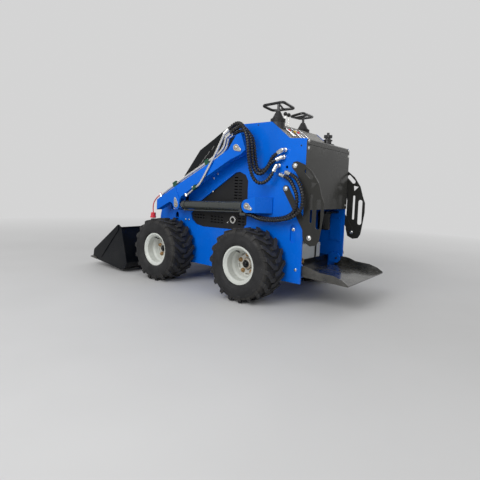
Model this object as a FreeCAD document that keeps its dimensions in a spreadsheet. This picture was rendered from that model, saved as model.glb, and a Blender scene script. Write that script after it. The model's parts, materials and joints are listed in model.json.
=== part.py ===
import FreeCAD, Part
import math
import os
import Sketcher

Vector = FreeCAD.Vector

# Driving dimensions in millimetres. Heights are from the ground, places along the machine are
# from the rear axle (positive to the rear, negative to the front), places across are from the
# middle plane. Name, size, what it is.
SIZES = [
    ("wheelbase", 782, "front axle to rear axle"),
    ("axle_height", 228, "wheel centre above the ground"),
    ("tyre_radius", 228, "to the tips of the lugs"),
    ("tyre_width", 215, "over the sidewalls"),
    ("tyre_out", 528, "middle plane to the outer sidewall"),
    ("bead_radius", 104, "tyre bead seat"),
    ("rim_width", 178, "over the two lips"),
    ("lip_radius", 119, "rim lip"),
    ("lip_thick", 8, "rim lip and well wall"),
    ("disc_at", 400, "middle plane to the wheel disc's inner face"),
    ("disc_thick", 9, "wheel disc"),
    ("disc_bore", 38, "radius of the hole in the wheel disc"),
    ("hub_radius", 76, "hub flange"),
    ("hub_flange", 12, "hub flange thickness"),
    ("hub_nose", 36, "radius of the hub's nose"),
    ("hub_reach", 28, "hub nose past the disc's inner face"),
    ("spindle_radius", 25, "axle spindle"),
    ("axle_radius", 38, "axle tube"),
    ("axle_flange", 70, "radius of the axle flange on the side plate"),
    ("run_gap", 0.05, "radial clearance of a pin or shaft in its bore"),
    ("seat_gap", 0.3, "clearance between faces that slide past each other"),
    ("plate_out", 300, "middle plane to the side plate's outer face"),
    ("plate_thick", 10, "side plate"),
    ("plate_rear", 315, "rear edge of the side plate"),
    ("plate_front", 874, "front edge of the side plate, ahead of the rear axle"),
    ("plate_low", 135, "bottom edge of the side plate"),
    ("tower_top", 1120, "top of the tower"),
    ("tower_front", 192, "tower's front edge, ahead of the rear axle"),
    ("knee_rear", 60, "where the console slope starts"),
    ("deck_top", 1010, "foot of the console slope"),
    ("deck_front", 197, "foot of the console slope, behind the rear axle"),
    ("post_top", 519, "top of the front post"),
    ("post_rear", 660, "rear edge of the front post, ahead of the rear axle"),
    ("pivot_ahead", 138, "arm pivot ahead of the rear axle"),
    ("pivot_height", 955, "arm pivot"),
    ("pivot_radius", 18, "arm pivot pin"),
    ("boss_radius", 44, "boss round the arm pivot"),
    ("arm_in", 345, "middle plane to the arm's inner face"),
    ("arm_wide", 55, "arm thickness across the machine"),
    ("arm_front", 905, "front end of the arm beam, ahead of the rear axle"),
    ("cross_ahead", 905, "cross tube's centre ahead of the rear axle"),
    ("cross_height", 590, "cross tube's centre"),
    ("cross_radius", 38, "cross tube"),
    ("leg_at", 262, "middle plane to the drop leg's centre"),
    ("leg_thick", 25, "drop leg plate"),
    ("base_ahead", 33, "lift cylinder's base pin ahead of the rear axle"),
    ("base_height", 586, "lift cylinder's base pin"),
    ("lift_ahead", 680, "lift cylinder's rod pin ahead of the rear axle"),
    ("lift_height", 560, "lift cylinder's rod pin"),
    ("lift_pin", 14, "radius of the lift cylinder's pins"),
    ("lift_eye", 27, "radius of the lift cylinder's eyes"),
    ("lift_eye_wide", 36, "lift cylinder's eye across the machine"),
    ("lift_tube", 29, "radius of the lift cylinder's barrel"),
    ("lift_rod", 15, "radius of the lift cylinder's rod"),
    ("lift_gap", 47.5, "lift cylinder's gland face to its rod pin, with the arm down"),
    ("ear_thick", 8, "ears that hold a cylinder's pin"),
    ("lip_reach", 1603, "bucket's cutting edge ahead of the rear axle"),
    ("lip_height", 68, "bucket's cutting edge above the ground"),
    ("bucket_half", 535, "middle plane to the bucket's side"),
    ("bucket_skin", 6, "bucket sheet"),
    ("heel_ahead", 1169, "bucket heel ahead of the rear axle"),
    ("heel_height", 20, "bucket heel above the ground"),
    ("tilt_ahead", 1010, "bucket pin ahead of the rear axle"),
    ("tilt_height", 105, "bucket pin"),
    ("tilt_pin", 14, "radius of the bucket pins"),
    ("leg_end", 32, "radius of the drop leg's end"),
    ("ram_ahead", 990, "tilt cylinder's base pin ahead of the rear axle"),
    ("ram_height", 640, "tilt cylinder's base pin"),
    ("ram_lug_ahead", 1064, "tilt cylinder's rod pin ahead of the rear axle"),
    ("ram_lug_height", 183, "tilt cylinder's rod pin"),
    ("ram_eye", 20, "radius of the tilt cylinder's eyes"),
    ("ram_eye_wide", 30, "tilt cylinder's eye across the machine"),
    ("ram_pin", 10, "radius of the tilt cylinder's pins"),
    ("ram_tube", 27, "radius of the tilt cylinder's barrel"),
    ("ram_rod", 13, "radius of the tilt cylinder's rod"),
    ("ram_gap", 101, "tilt cylinder's gland face to its rod pin, with the bucket level"),
    ("hood_half", 268, "middle plane to the hood's side"),
    ("hood_skin", 4, "hood sheet"),
    ("sheet_thick", 5, "console and cover sheet"),
    ("cover_low", 582, "bottom of the rear cover"),
    ("guard_thick", 6, "guard plate"),
    ("hinge_rear", 282, "platform hinge behind the rear axle"),
    ("hinge_height", 228, "platform hinge"),
    ("hinge_pin", 7, "radius of the platform's hinge pin"),
    ("platform_half", 284, "middle plane to the platform's side"),
    ("platform_rear", 609, "platform's rear edge behind the rear axle"),
    ("floor_height", 182, "top of the platform floor"),
    ("floor_thick", 5, "platform sheet"),
    ("wing_height", 56, "platform's side wing above its floor"),
    ("retainer_thick", 5, "plate that keeps a pin in place"),
    ("bucket_side", 8, "bucket side plate"),
    ("bucket_tall", 349, "top edge of the bucket's back"),
    ("edge_long", 94, "cutting edge along the machine"),
    ("edge_thick", 16, "cutting edge"),
    ("mount_plate", 10, "plate on the bucket's back"),
    ("mount_ear", 10, "bucket hinge ear"),
    ("mount_gap", 3, "drop leg to each bucket ear"),
    ("lug_gap", 5, "hinge lug to the platform's wing"),
    ("lug_thick", 12, "hinge lug"),
    ("tray_top", 242, "top of the battery tray"),
    ("grille_thick", 3, "side grille"),
    ("cover_seam", 968, "seam under the rear cover's lid"),
    ("engine_long", 380, "engine along the machine"),
    ("engine_wide", 400, "engine across the machine"),
    ("engine_tall", 360, "engine"),
    ("lug_height", 14, "tyre lug above the tread"),
    ("lug_half", 12, "half the width of a tyre lug"),
    ("stud_circle", 57.15, "radius of the circle of the five wheel studs"),
    ("stud_radius", 6, "wheel stud"),
    ("nut_radius", 11, "wheel nut over its corners"),
    ("nut_height", 11, "wheel nut"),
    ("vent_circle", 67, "radius of the circle of the five vents in the wheel disc"),
    ("window_round", 14, "corner radius of the window in the side plate"),
    ("doubler", 5, "plate on the arm's outer face round the lift cylinder's pin"),
    ("side_cutter", 6, "plate on the outside of the bucket's side"),
    ("slot_half", 4, "half the height of a slot in the side grille"),
    ("hose_wide", 22, "hydraulic hose with its guard"),
    ("pipe_wide", 16, "steel pipe on the lift arm"),
    ("crimp_wide", 27, "crimped sleeve at a hose's end"),
]

doc = FreeCAD.newDocument("skid_steer_loader")
sheet = doc.addObject("Spreadsheet::Sheet", "Sizes")
for row, (name, amount, note) in enumerate(SIZES, start=1):
    sheet.set("A%d" % row, name)
    sheet.set("B%d" % row, str(amount))
    sheet.set("C%d" % row, note)
    sheet.setAlias("B%d" % row, name)
doc.recompute()


class Size:
    """A size that carries its value and the sheet expression it comes from."""

    def __init__(self, text, value):
        self.text = text
        self.value = float(value)

    def join(self, sign, other, value):
        return Size("(%s %s %s)" % (self.text, sign, other.text), value)

    def __add__(self, other):
        other = as_size(other)
        return self.join("+", other, self.value + other.value)

    def __radd__(self, other):
        return as_size(other) + self

    def __sub__(self, other):
        other = as_size(other)
        return self.join("-", other, self.value - other.value)

    def __rsub__(self, other):
        return as_size(other) - self

    def __mul__(self, other):
        other = as_size(other)
        return self.join("*", other, self.value * other.value)

    def __rmul__(self, other):
        return as_size(other) * self

    def __truediv__(self, other):
        other = as_size(other)
        return self.join("/", other, self.value / other.value)

    def __neg__(self):
        return Size("(0 - %s)" % self.text, -self.value)


def as_size(amount):
    if isinstance(amount, Size):
        return amount
    return Size(repr(float(amount)), amount)


def cell(name):
    return Size("Sizes." + name, sheet.get(name))


class Sizes:
    pass


s = Sizes()
for name, amount, note in SIZES:
    setattr(s, name, cell(name))

# Everything is drawn from the rear axle and then moved so that the origin is on the ground
# under the middle of the whole machine.
MIDDLE = (s.lip_reach - s.platform_rear) / 2
PARTS = []


def bind(item, name, amount):
    amount = as_size(amount)
    item.setExpression(name, amount.text)


def turn_of(rise, run):
    """Angle of a line in the side view, from straight back, as a size in degrees."""
    base = math.degrees(math.atan2(rise.value, run.value))
    plain = math.degrees(math.atan(rise.value / run.value))
    return Size("(atan(%s / %s) / 1 deg + %r)" % (rise.text, run.text, base - plain), base)


def length_of(rise, run):
    value = math.hypot(rise.value, run.value)
    return Size("sqrt(%s * %s + %s * %s)" % (rise.text, rise.text, run.text, run.text), value)


def place(item, x=0, y=0, z=0, tilt=None):
    """Put an item at x, y, z, turned by tilt about the axis across the machine."""
    if tilt is not None:
        item.Placement = FreeCAD.Placement(Vector(0, 0, 0), FreeCAD.Rotation(Vector(1, 0, 0), 10))
        bind(item, "Placement.Rotation.Angle", tilt)
    for axis, amount in (("x", x), ("y", y), ("z", z)):
        bind(item, "Placement.Base." + axis, amount)


def keep(item, label, x=0, y=0, z=0, tilt=None):
    """Name a finished sub-part and put it in the machine's own frame."""
    item.Label = label
    place(item, x, MIDDLE + y, z, tilt)
    PARTS.append(item)
    return item


# Part Design helpers
PLANES = {"side": "YZ_Plane", "front": "XZ_Plane", "top": "XY_Plane"}


def new_body(name):
    return doc.addObject("PartDesign::Body", name + "_body")


def new_sketch(body, plane, at=0, roll=0):
    """A sketch on one of the body's planes, moved off it by at and rolled about the plane's X axis."""
    drawing = body.newObject("Sketcher::SketchObject", "sketch")
    support = [item for item in body.Origin.OriginFeatures if item.Role == PLANES[plane]]
    drawing.AttachmentSupport = [(support[0], "")]
    drawing.MapMode = "FlatFace"
    if roll:
        drawing.AttachmentOffset = FreeCAD.Placement(Vector(0, 0, 0), FreeCAD.Rotation(Vector(1, 0, 0), roll))
        bind(drawing, "AttachmentOffset.Base.y", -at * math.sin(math.radians(roll)))
    bind(drawing, "AttachmentOffset.Base.z", at * math.cos(math.radians(roll)) if roll else at)
    return drawing


def pin_point(drawing, edge, spot, point):
    for kind, amount in (("DistanceX", point[0]), ("DistanceY", point[1])):
        amount = as_size(amount)
        rule = Sketcher.Constraint(kind, -1, 1, edge, spot, amount.value)
        number = drawing.addConstraint(rule)
        drawing.setExpression("Constraints[%d]" % number, amount.text)


def flat(point):
    return Vector(as_size(point[0]).value, as_size(point[1]).value, 0)


def draw_outline(drawing, corners):
    first = drawing.GeometryCount
    count = len(corners)
    for index, corner in enumerate(corners):
        following = corners[(index + 1) % count]
        drawing.addGeometry(Part.LineSegment(flat(corner), flat(following)))
    for index, corner in enumerate(corners):
        edge = first + index
        before = first + (index - 1) % count
        drawing.addConstraint(Sketcher.Constraint("Coincident", before, 2, edge, 1))
        pin_point(drawing, edge, 1, corner)


def draw_circle(drawing, centre, radius):
    radius = as_size(radius)
    edge = drawing.addGeometry(Part.Circle(flat(centre), Vector(0, 0, 1), radius.value))
    pin_point(drawing, edge, 3, centre)
    number = drawing.addConstraint(Sketcher.Constraint("Radius", edge, radius.value))
    drawing.setExpression("Constraints[%d]" % number, radius.text)


def draw_slot(drawing, first, second, radius, end_radius=None):
    """A round-ended slot between two centres, its second end of another radius if one is given."""
    radii = [as_size(radius), as_size(radius if end_radius is None else end_radius)]
    start = flat(first)
    end = flat(second)
    along = end - start
    lean = math.atan2(along.y, along.x)
    spread = math.acos((radii[0].value - radii[1].value) / along.Length)
    up = Vector(math.cos(lean + spread), math.sin(lean + spread), 0)
    down = Vector(math.cos(lean - spread), math.sin(lean - spread), 0)
    circles = [Part.Circle(centre, Vector(0, 0, 1), size.value) for centre, size in zip((start, end), radii)]
    turn = 2 * math.pi
    one = drawing.addGeometry(Part.ArcOfCircle(circles[0], lean + spread, lean - spread + turn))
    low = drawing.addGeometry(Part.LineSegment(start + down * radii[0].value, end + down * radii[1].value))
    two = drawing.addGeometry(Part.ArcOfCircle(circles[1], lean - spread, lean + spread))
    high = drawing.addGeometry(Part.LineSegment(end + up * radii[1].value, start + up * radii[0].value))
    for a, spot_a, b, spot_b in ((one, 2, low, 1), (low, 2, two, 1), (two, 2, high, 1), (high, 2, one, 1)):
        drawing.addConstraint(Sketcher.Constraint("Tangent", a, spot_a, b, spot_b))
    for arc, centre, size in ((one, first, radii[0]), (two, second, radii[1])):
        pin_point(drawing, arc, 3, centre)
        if arc == one or end_radius is not None:
            number = drawing.addConstraint(Sketcher.Constraint("Radius", arc, size.value))
            drawing.setExpression("Constraints[%d]" % number, size.text)


def extrude(body, kind, plane, thick, at=0, outlines=(), circles=(), slots=(), roll=0):
    """Pad or pocket of a sketch, half to each side of its plane."""
    drawing = new_sketch(body, plane, at, roll)
    for corners in outlines:
        draw_outline(drawing, corners)
    for centre, radius in circles:
        draw_circle(drawing, centre, radius)
    for slot in slots:
        draw_slot(drawing, *slot)
    feature = body.newObject("PartDesign::" + kind, kind.lower())
    feature.Profile = drawing
    feature.SideType = "Symmetric"
    bind(feature, "Length", thick)
    doc.recompute()
    return feature


def pad(body, plane, thick, at=0, outlines=(), circles=(), slots=(), roll=0):
    return extrude(body, "Pad", plane, thick, at, outlines, circles, slots, roll)


def pocket(body, plane, thick, at=0, outlines=(), circles=(), slots=()):
    before = body.Shape.Volume
    feature = extrude(body, "Pocket", plane, thick, at, outlines, circles, slots)
    if body.Shape.Volume > before - 1e-6:
        raise RuntimeError(body.Name + ": a pocket cuts nothing")
    return feature


def round_corners(body, plane, corners, radius):
    """Fillet the edges that stand on the given corners of the last feature's outline."""
    base = body.Tip
    names = []
    for number, edge in enumerate(base.Shape.Edges, start=1):
        ends = [vertex.Point for vertex in edge.Vertexes]
        if len(ends) != 2:
            continue
        if plane == "side":
            spots = [(end.y, end.z) for end in ends]
        elif plane == "top":
            spots = [(end.x, end.y) for end in ends]
        else:
            spots = [(end.x, end.z) for end in ends]
        for corner in corners:
            target = flat(corner)
            if all(abs(u - target.x) < 0.01 and abs(v - target.y) < 0.01 for u, v in spots):
                names.append("Edge%d" % number)
    feature = body.newObject("PartDesign::Fillet", "fillet")
    feature.Base = (base, names)
    bind(feature, "Radius", radius)
    doc.recompute()
    return feature


def revolve(body, outline, kind="Revolution"):
    """Revolution of an outline drawn as (across, radius) about the axis across the machine."""
    drawing = new_sketch(body, "top")
    draw_outline(drawing, outline)
    feature = body.newObject("PartDesign::" + kind, kind.lower())
    feature.Profile = drawing
    feature.ReferenceAxis = (drawing, ["H_Axis"])
    feature.Angle = 360
    doc.recompute()
    return feature


def groove(body, outline):
    before = body.Shape.Volume
    feature = revolve(body, outline, "Groove")
    if body.Shape.Volume > before - 1e-6:
        raise RuntimeError(body.Name + ": a groove cuts nothing")
    return feature


# Part helpers
def rod_across(radius, length, x=0, y=0, z=0):
    """A round bar across the machine, its middle at x."""
    item = doc.addObject("Part::Cylinder", "bar")
    item.Placement = FreeCAD.Placement(Vector(0, 0, 0), FreeCAD.Rotation(Vector(0, 1, 0), 90))
    bind(item, "Radius", radius)
    bind(item, "Height", length)
    bind(item, "Placement.Base.x", x - as_size(length) / 2)
    bind(item, "Placement.Base.y", y)
    bind(item, "Placement.Base.z", z)
    return item


def rod_along(radius, length, start=0):
    """A round bar along the machine in its own frame, from start to the rear."""
    item = doc.addObject("Part::Cylinder", "bar")
    item.Placement = FreeCAD.Placement(Vector(0, 0, 0), FreeCAD.Rotation(Vector(1, 0, 0), -90))
    bind(item, "Radius", radius)
    bind(item, "Height", length)
    bind(item, "Placement.Base.y", start)
    return item


def rod_up(radius, length, x=0, y=0, z=0):
    item = doc.addObject("Part::Cylinder", "bar")
    bind(item, "Radius", radius)
    bind(item, "Height", length)
    place(item, x, y, z)
    return item


def block(long_x, long_y, long_z, x=0, y=0, z=0):
    """A block with its middle at x, y and its bottom at z."""
    item = doc.addObject("Part::Box", "block")
    bind(item, "Length", long_x)
    bind(item, "Width", long_y)
    bind(item, "Height", long_z)
    place(item, x - as_size(long_x) / 2, y - as_size(long_y) / 2, z)
    return item


def join(items, name="joined"):
    item = doc.addObject("Part::MultiFuse", name)
    item.Shapes = items
    item.Refine = True
    return item


def cut(base, tools, name="cut"):
    tool = tools[0]
    if len(tools) > 1:
        tool = join(tools)
    item = doc.addObject("Part::Cut", name)
    item.Base = base
    item.Tool = tool
    return item


# Places that several pieces share, as (along, height)
FRONT_AXLE = -s.wheelbase
PIVOT = (-s.pivot_ahead, s.pivot_height)
BASE = (-s.base_ahead, s.base_height)
LIFT = (-s.lift_ahead, s.lift_height)
TILT = (-s.tilt_ahead, s.tilt_height)
RAM_BASE = (-s.ram_ahead, s.ram_height)
RAM_LUG = (-s.ram_lug_ahead, s.ram_lug_height)
HINGE = (s.hinge_rear, s.hinge_height)
ARM_MID = s.arm_in + s.arm_wide / 2
PLATE_IN = s.plate_out - s.plate_thick
SIDES = (("left", 1), ("right", -1))
AXLES = (("front", FRONT_AXLE), ("rear", as_size(0)))
TOWER_HOLE = (as_size(186), as_size(836))


# Wheels. One tyre, one rim and one hub are drawn at the middle plane's own frame for the left side,
# and each wheel is a copy of them, turned half round on the right.
LUGS = 18
STUDS = 5
HALF_TURN = FreeCAD.Rotation(Vector(0, 0, 1), 180)


def copy_of(form, label, side, out, along):
    item = doc.addObject("Part::Compound", "copy")
    item.Links = [form]
    if side < 0:
        item.Placement = FreeCAD.Placement(Vector(0, 0, 0), HALF_TURN)
    keep(item, label, side * out, along, s.axle_height)


def repeat_round(body, feature, count):
    """Repeat the last feature round the axis across the machine."""
    axis = [item for item in body.Origin.OriginFeatures if item.Role == "X_Axis"][0]
    pattern = body.newObject("PartDesign::PolarPattern", "pattern")
    pattern.Originals = [feature]
    pattern.Axis = (axis, [""])
    pattern.Angle = 360
    pattern.Occurrences = count
    body.Tip = pattern
    doc.recompute()
    return pattern


def round_spots(count, radius, start=0):
    """Places on a circle, as (along, height)."""
    turns = [math.radians(start + 360 * index / count) for index in range(count)]
    return [(radius * math.cos(turn), radius * math.sin(turn)) for turn in turns]


def make_tyre_form():
    """Carcass with two rows of lugs, each from the shoulder slanting to the middle of the tread."""
    body = new_body("tyre")
    half = s.tyre_width / 2
    bead = s.rim_width / 2 - s.lip_thick - s.seat_gap
    tread = s.tyre_radius - s.lug_height
    profile = [
        (bead - 8, s.bead_radius),
        (bead, s.lip_radius + s.seat_gap),
        (s.rim_width / 2, s.lip_radius + s.seat_gap),
        (half - 8, s.lip_radius + 8),
        (half - 2, s.lip_radius + 22),
        (half, s.lip_radius + 42),
        (half - 4, tread - 22),
        (half - 11, tread - 8),
        (half - 24, tread),
    ]
    outline = profile + [(-across, radius) for across, radius in reversed(profile)]
    revolve(body, outline)
    lug = [
        (half - 1, -s.lug_half),
        (half - 1, s.lug_half),
        (half - 14, s.lug_half + 3),
        (s.lug_half + 21, s.lug_half + 58),
        (-s.lug_half + 5, s.lug_half + 62),
        (-s.lug_half + 3, 62 - s.lug_half),
        (s.lug_half + 11, 58 - s.lug_half),
        (half - 25, -s.lug_half + 5),
    ]
    top = s.tyre_radius - 4.1
    deep = s.lug_height * 3
    half_pitch = 180 / LUGS
    for side, roll in ((1, 0), (-1, half_pitch)):
        outline = [(side * across, arc - 31) for across, arc in lug]
        rotated_pad = pad(body, "top", deep, top - deep / 2, outlines=[outline], roll=roll)
        repeat_round(body, rotated_pad, LUGS)
    for side in (1, -1):
        bevel = [
            (side * (half - 16), s.tyre_radius + 10),
            (side * (half + 4), s.tyre_radius + 10),
            (side * (half + 4), tread - 26),
            (side * half, tread - 26),
        ]
        groove(body, bevel)
    return body


def make_rim_form():
    """Rim with its well, and the disc with stud holes and vents."""
    body = new_body("rim")
    out = s.tyre_out - (s.tyre_width - s.rim_width) / 2
    inner = out - s.rim_width
    wall = s.lip_thick
    seat = s.bead_radius - s.seat_gap
    disc_in = s.disc_at
    disc_out = s.disc_at + s.disc_thick
    outline = [
        (out, s.lip_radius),
        (out - wall, s.lip_radius),
        (out - wall - 8, seat),
        (inner + wall + 8, seat),
        (inner + wall, s.lip_radius),
        (inner, s.lip_radius),
        (inner, s.lip_radius - 10),
        (inner + 14, seat - wall),
        (disc_in - 20, seat - wall),
        (disc_in, seat - wall - 14),
        (disc_in, s.disc_bore),
        (disc_out, s.disc_bore),
        (disc_out, seat - wall - 18),
        (disc_out + 26, seat - wall - 10),
        (disc_out + 40, seat - wall),
        (out - 14, seat - wall),
        (out, s.lip_radius - 10),
    ]
    revolve(body, outline)
    middle = (disc_in + disc_out) / 2
    studs = [(spot, s.stud_radius + 2) for spot in round_spots(STUDS, s.stud_circle, 90)]
    vents = []
    for first, second in zip(round_spots(STUDS, s.vent_circle, 117), round_spots(STUDS, s.vent_circle, 135)):
        vents.append((first, second, as_size(5)))
    pocket(body, "side", s.disc_thick * 2, middle, circles=studs, slots=vents)
    return body


def make_hub_form():
    """Hub flange and nose with the studs and nuts that hold the wheel disc."""
    body = new_body("hub")
    face = s.disc_at
    outline = [
        (face - s.hub_flange - 26, s.spindle_radius + s.run_gap),
        (face + s.hub_reach - 10, s.spindle_radius + s.run_gap),
        (face + s.hub_reach - 10, 0),
        (face + s.hub_reach, 0),
        (face + s.hub_reach, s.hub_nose - 10),
        (face + s.hub_reach - 4, s.hub_nose - 3),
        (face + s.hub_reach - 8, s.hub_nose - 1),
        (face, s.hub_nose),
        (face, s.hub_radius),
        (face - s.hub_flange, s.hub_radius),
        (face - s.hub_flange, s.hub_nose + 8),
        (face - s.hub_flange - 26, s.hub_nose + 4),
    ]
    revolve(body, outline)
    nut_at = face + s.disc_thick + s.seat_gap
    stud_end = nut_at + s.nut_height + 6
    spots = round_spots(STUDS, s.stud_circle, 90)
    pad(body, "side", stud_end - face + 2, (stud_end + face - 2) / 2, circles=[(spot, s.stud_radius) for spot in spots])
    nuts = []
    for spot in spots:
        corners = round_spots(6, s.nut_radius)
        nuts.append([(spot[0] + corner[0], spot[1] + corner[1]) for corner in corners])
    pad(body, "side", s.nut_height, nut_at + s.nut_height / 2, outlines=nuts)
    return body


tyre_form = make_tyre_form()
rim_form = make_rim_form()
hub_form = make_hub_form()
for end, along in AXLES:
    for side_name, side in SIDES:
        wheel = "_%s_%s" % (end, side_name)
        copy_of(tyre_form, "tyre" + wheel, side, s.tyre_out - s.tyre_width / 2, along)
        copy_of(rim_form, "rim" + wheel, side, as_size(0), along)
        copy_of(hub_form, "hub" + wheel, side, as_size(0), along)


def make_axle(end, along):
    """Axle tube between the side plates with a flange on each plate and a spindle at each end."""
    flange_end = s.plate_out + s.hub_flange
    hub_start = s.disc_at - s.hub_flange - 26
    spindle_end = s.disc_at + s.hub_reach - 12
    pieces = [rod_across(s.axle_radius, hub_start * 2 - 4)]
    pieces.append(rod_across(s.spindle_radius, spindle_end * 2))
    for side in (1, -1):
        pieces.append(rod_across(s.axle_flange, s.hub_flange, side * (flange_end - s.hub_flange / 2)))
    keep(join(pieces, "axle"), "axle_" + end, 0, along, s.axle_height)


for end, along in AXLES:
    make_axle(end, along)


# Chassis
def make_side_plate(side_name, side):
    body = new_body("side_plate")
    brace_top = (-s.tower_front - 48, s.pivot_height + 5)
    corners = [
        (s.plate_rear, s.plate_low),
        (s.plate_rear, s.deck_top - 6),
        (s.deck_front, s.deck_top),
        (s.knee_rear, s.tower_top),
        (-s.tower_front, s.tower_top),
        brace_top,
        (-s.post_rear + 50, s.post_top + 212),
        (-s.post_rear, s.post_top + 120),
        (-s.post_rear, s.post_top),
        (-s.plate_front, s.post_top),
        (-s.plate_front, s.plate_low),
    ]
    window = [
        (as_size(-107), as_size(746)),
        (as_size(-128), as_size(785)),
        (as_size(-180), as_size(807)),
        (as_size(-214), as_size(801)),
        (as_size(-533), as_size(597)),
        (as_size(-632), as_size(500)),
        (as_size(-620), as_size(456)),
        (as_size(-576), as_size(422)),
        (as_size(-504), as_size(410)),
        (as_size(-150), as_size(417)),
        (as_size(-107), as_size(458)),
    ]
    holes = [
        (PIVOT, s.pivot_radius + s.run_gap),
        ((FRONT_AXLE, s.axle_height), s.axle_radius + s.seat_gap),
        ((as_size(0), s.axle_height), s.axle_radius + s.seat_gap),
        (TOWER_HOLE, 9),
    ]
    pad(body, "side", s.plate_thick, 0, outlines=[corners, window], circles=holes)
    round_corners(body, "side", [corners[2], corners[3], corners[4]], 20)
    round_corners(body, "side", window[:3] + window[4:], s.window_round)
    boss = s.arm_in - s.seat_gap - s.plate_out
    boss_mid = side * (s.plate_thick / 2 + boss / 2)
    pad(body, "side", boss, boss_mid, circles=[(PIVOT, s.boss_radius), (PIVOT, s.pivot_radius + s.run_gap)])
    pocket(body, "side", s.plate_thick * 2, 0, slots=[
        ((as_size(-782), as_size(452)), (as_size(-782), as_size(484)), 16),
        ((as_size(252), as_size(400)), (as_size(252), as_size(465)), 22),
    ])
    keep(body, "side_plate_" + side_name, side * (s.plate_out - s.plate_thick / 2))


def make_base_bracket(side_name, side):
    """Bent bracket on the side plate: a backing plate with a boss, a slanted wall and an outer ear,
    with the lift cylinder's base eye between boss and ear."""
    body = new_body("base_bracket")
    gap = s.lift_eye_wide / 2 + 2
    boss_end = ARM_MID - gap
    ear_start = ARM_MID + gap
    ear_end = ear_start + s.ear_thick
    back = s.plate_out + s.ear_thick
    wall_rear = BASE[0] + 130
    wall_front = BASE[0] + 62
    low = BASE[1] - 40
    high = BASE[1] + 60
    round_ear = s.lift_eye + 16
    hole = s.lift_pin + s.run_gap
    plate = [
        (wall_rear, low),
        (wall_rear, high),
        (BASE[0] + 20, high - 6),
        (BASE[0] + 20, low),
    ]
    ear = [
        (wall_front, low),
        (wall_front, high),
        (BASE[0] + 20, high - 10),
        (BASE[0] - 30, BASE[1] + 32),
        (BASE[0] - 30, BASE[1] - 32),
        (BASE[0] + 6, low),
    ]
    pad(body, "side", s.ear_thick, side * (back - s.ear_thick / 2), outlines=[plate])
    wall = [
        (side * ear_start, wall_front - s.ear_thick),
        (side * ear_end, wall_front - s.ear_thick),
        (side * ear_end, wall_front),
        (side * back, wall_rear),
        (side * s.plate_out, wall_rear),
        (side * s.plate_out, wall_rear - s.ear_thick * 2),
    ]
    pad(body, "top", high - low, (high + low) / 2, outlines=[wall])
    ear_mid = side * (ear_start + s.ear_thick / 2)
    pad(body, "side", s.ear_thick, ear_mid, outlines=[ear], circles=[(BASE, hole)])
    pad(body, "side", s.ear_thick, ear_mid, circles=[(BASE, round_ear), (BASE, hole)])
    boss = boss_end - s.plate_out
    boss_mid = side * (s.plate_out + boss / 2)
    pad(body, "side", boss, boss_mid, circles=[(BASE, round_ear - 6), (BASE, hole)])
    keep(body, "base_bracket_" + side_name)


def make_belly_pan():
    """Floor of the chassis, its front wall and the ledge that the hood stands on."""
    body = new_body("belly_pan")
    thick = s.sheet_thick * 2
    low = s.plate_low
    front = -s.plate_front
    ledge = s.post_top - 60 - s.seat_gap
    outline = [
        (front, low),
        (s.hinge_rear - 52, low),
        (s.hinge_rear - 52, low + thick),
        (front + thick, low + thick),
        (front + thick, ledge - thick),
        (front + 90, ledge - thick),
        (front + 90, ledge),
        (front + thick, ledge),
        (front + thick, s.post_top - 4),
        (front, s.post_top - 4),
    ]
    pad(body, "side", PLATE_IN * 2 - s.seat_gap * 2, 0, outlines=[outline])
    keep(body, "belly_pan")


def make_hood():
    body = new_body("hood")
    skin = s.hood_skin
    front = -s.plate_front
    outer = [
        (-s.tower_front + 40, s.tower_top - 8),
        (-s.tower_front - 28, s.tower_top + 14),
        (-s.tower_front - 136, s.tower_top - 4),
        (-s.tower_front - 253, s.tower_top - 74),
        (-s.tower_front - 398, s.tower_top - 154),
        (front + 124, s.post_top + 256),
        (front + 72, s.post_top + 180),
        (front + 60, s.post_top - 60),
        (-s.tower_front + 40, s.post_top - 60),
    ]
    inner = [
        (-s.tower_front + 41, s.tower_top - 8 - skin),
        (-s.tower_front - 28, s.tower_top + 14 - skin),
        (-s.tower_front - 135, s.tower_top - 4 - skin),
        (-s.tower_front - 252, s.tower_top - 75 - skin),
        (-s.tower_front - 396, s.tower_top - 155 - skin),
        (front + 127, s.post_top + 253),
        (front + 76, s.post_top + 178),
        (front + 64, s.post_top - 61),
        (-s.tower_front + 41, s.post_top - 61),
    ]
    pad(body, "side", s.hood_half * 2, 0, outlines=[outer])
    pocket(body, "side", s.hood_half * 2 - skin * 2, 0, outlines=[inner])
    keep(body, "hood")


def make_engine():
    bottom = s.plate_low + s.sheet_thick * 2
    item = block(s.engine_wide, s.engine_long, s.engine_tall)
    holder = join([item, block(120, 160, s.engine_tall + 60, 0, 60)], "engine")
    keep(holder, "engine_block", 0, -s.plate_front / 2, bottom)


for side_name, side in SIDES:
    make_side_plate(side_name, side)
    make_base_bracket(side_name, side)
make_belly_pan()
make_hood()
make_engine()

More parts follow.
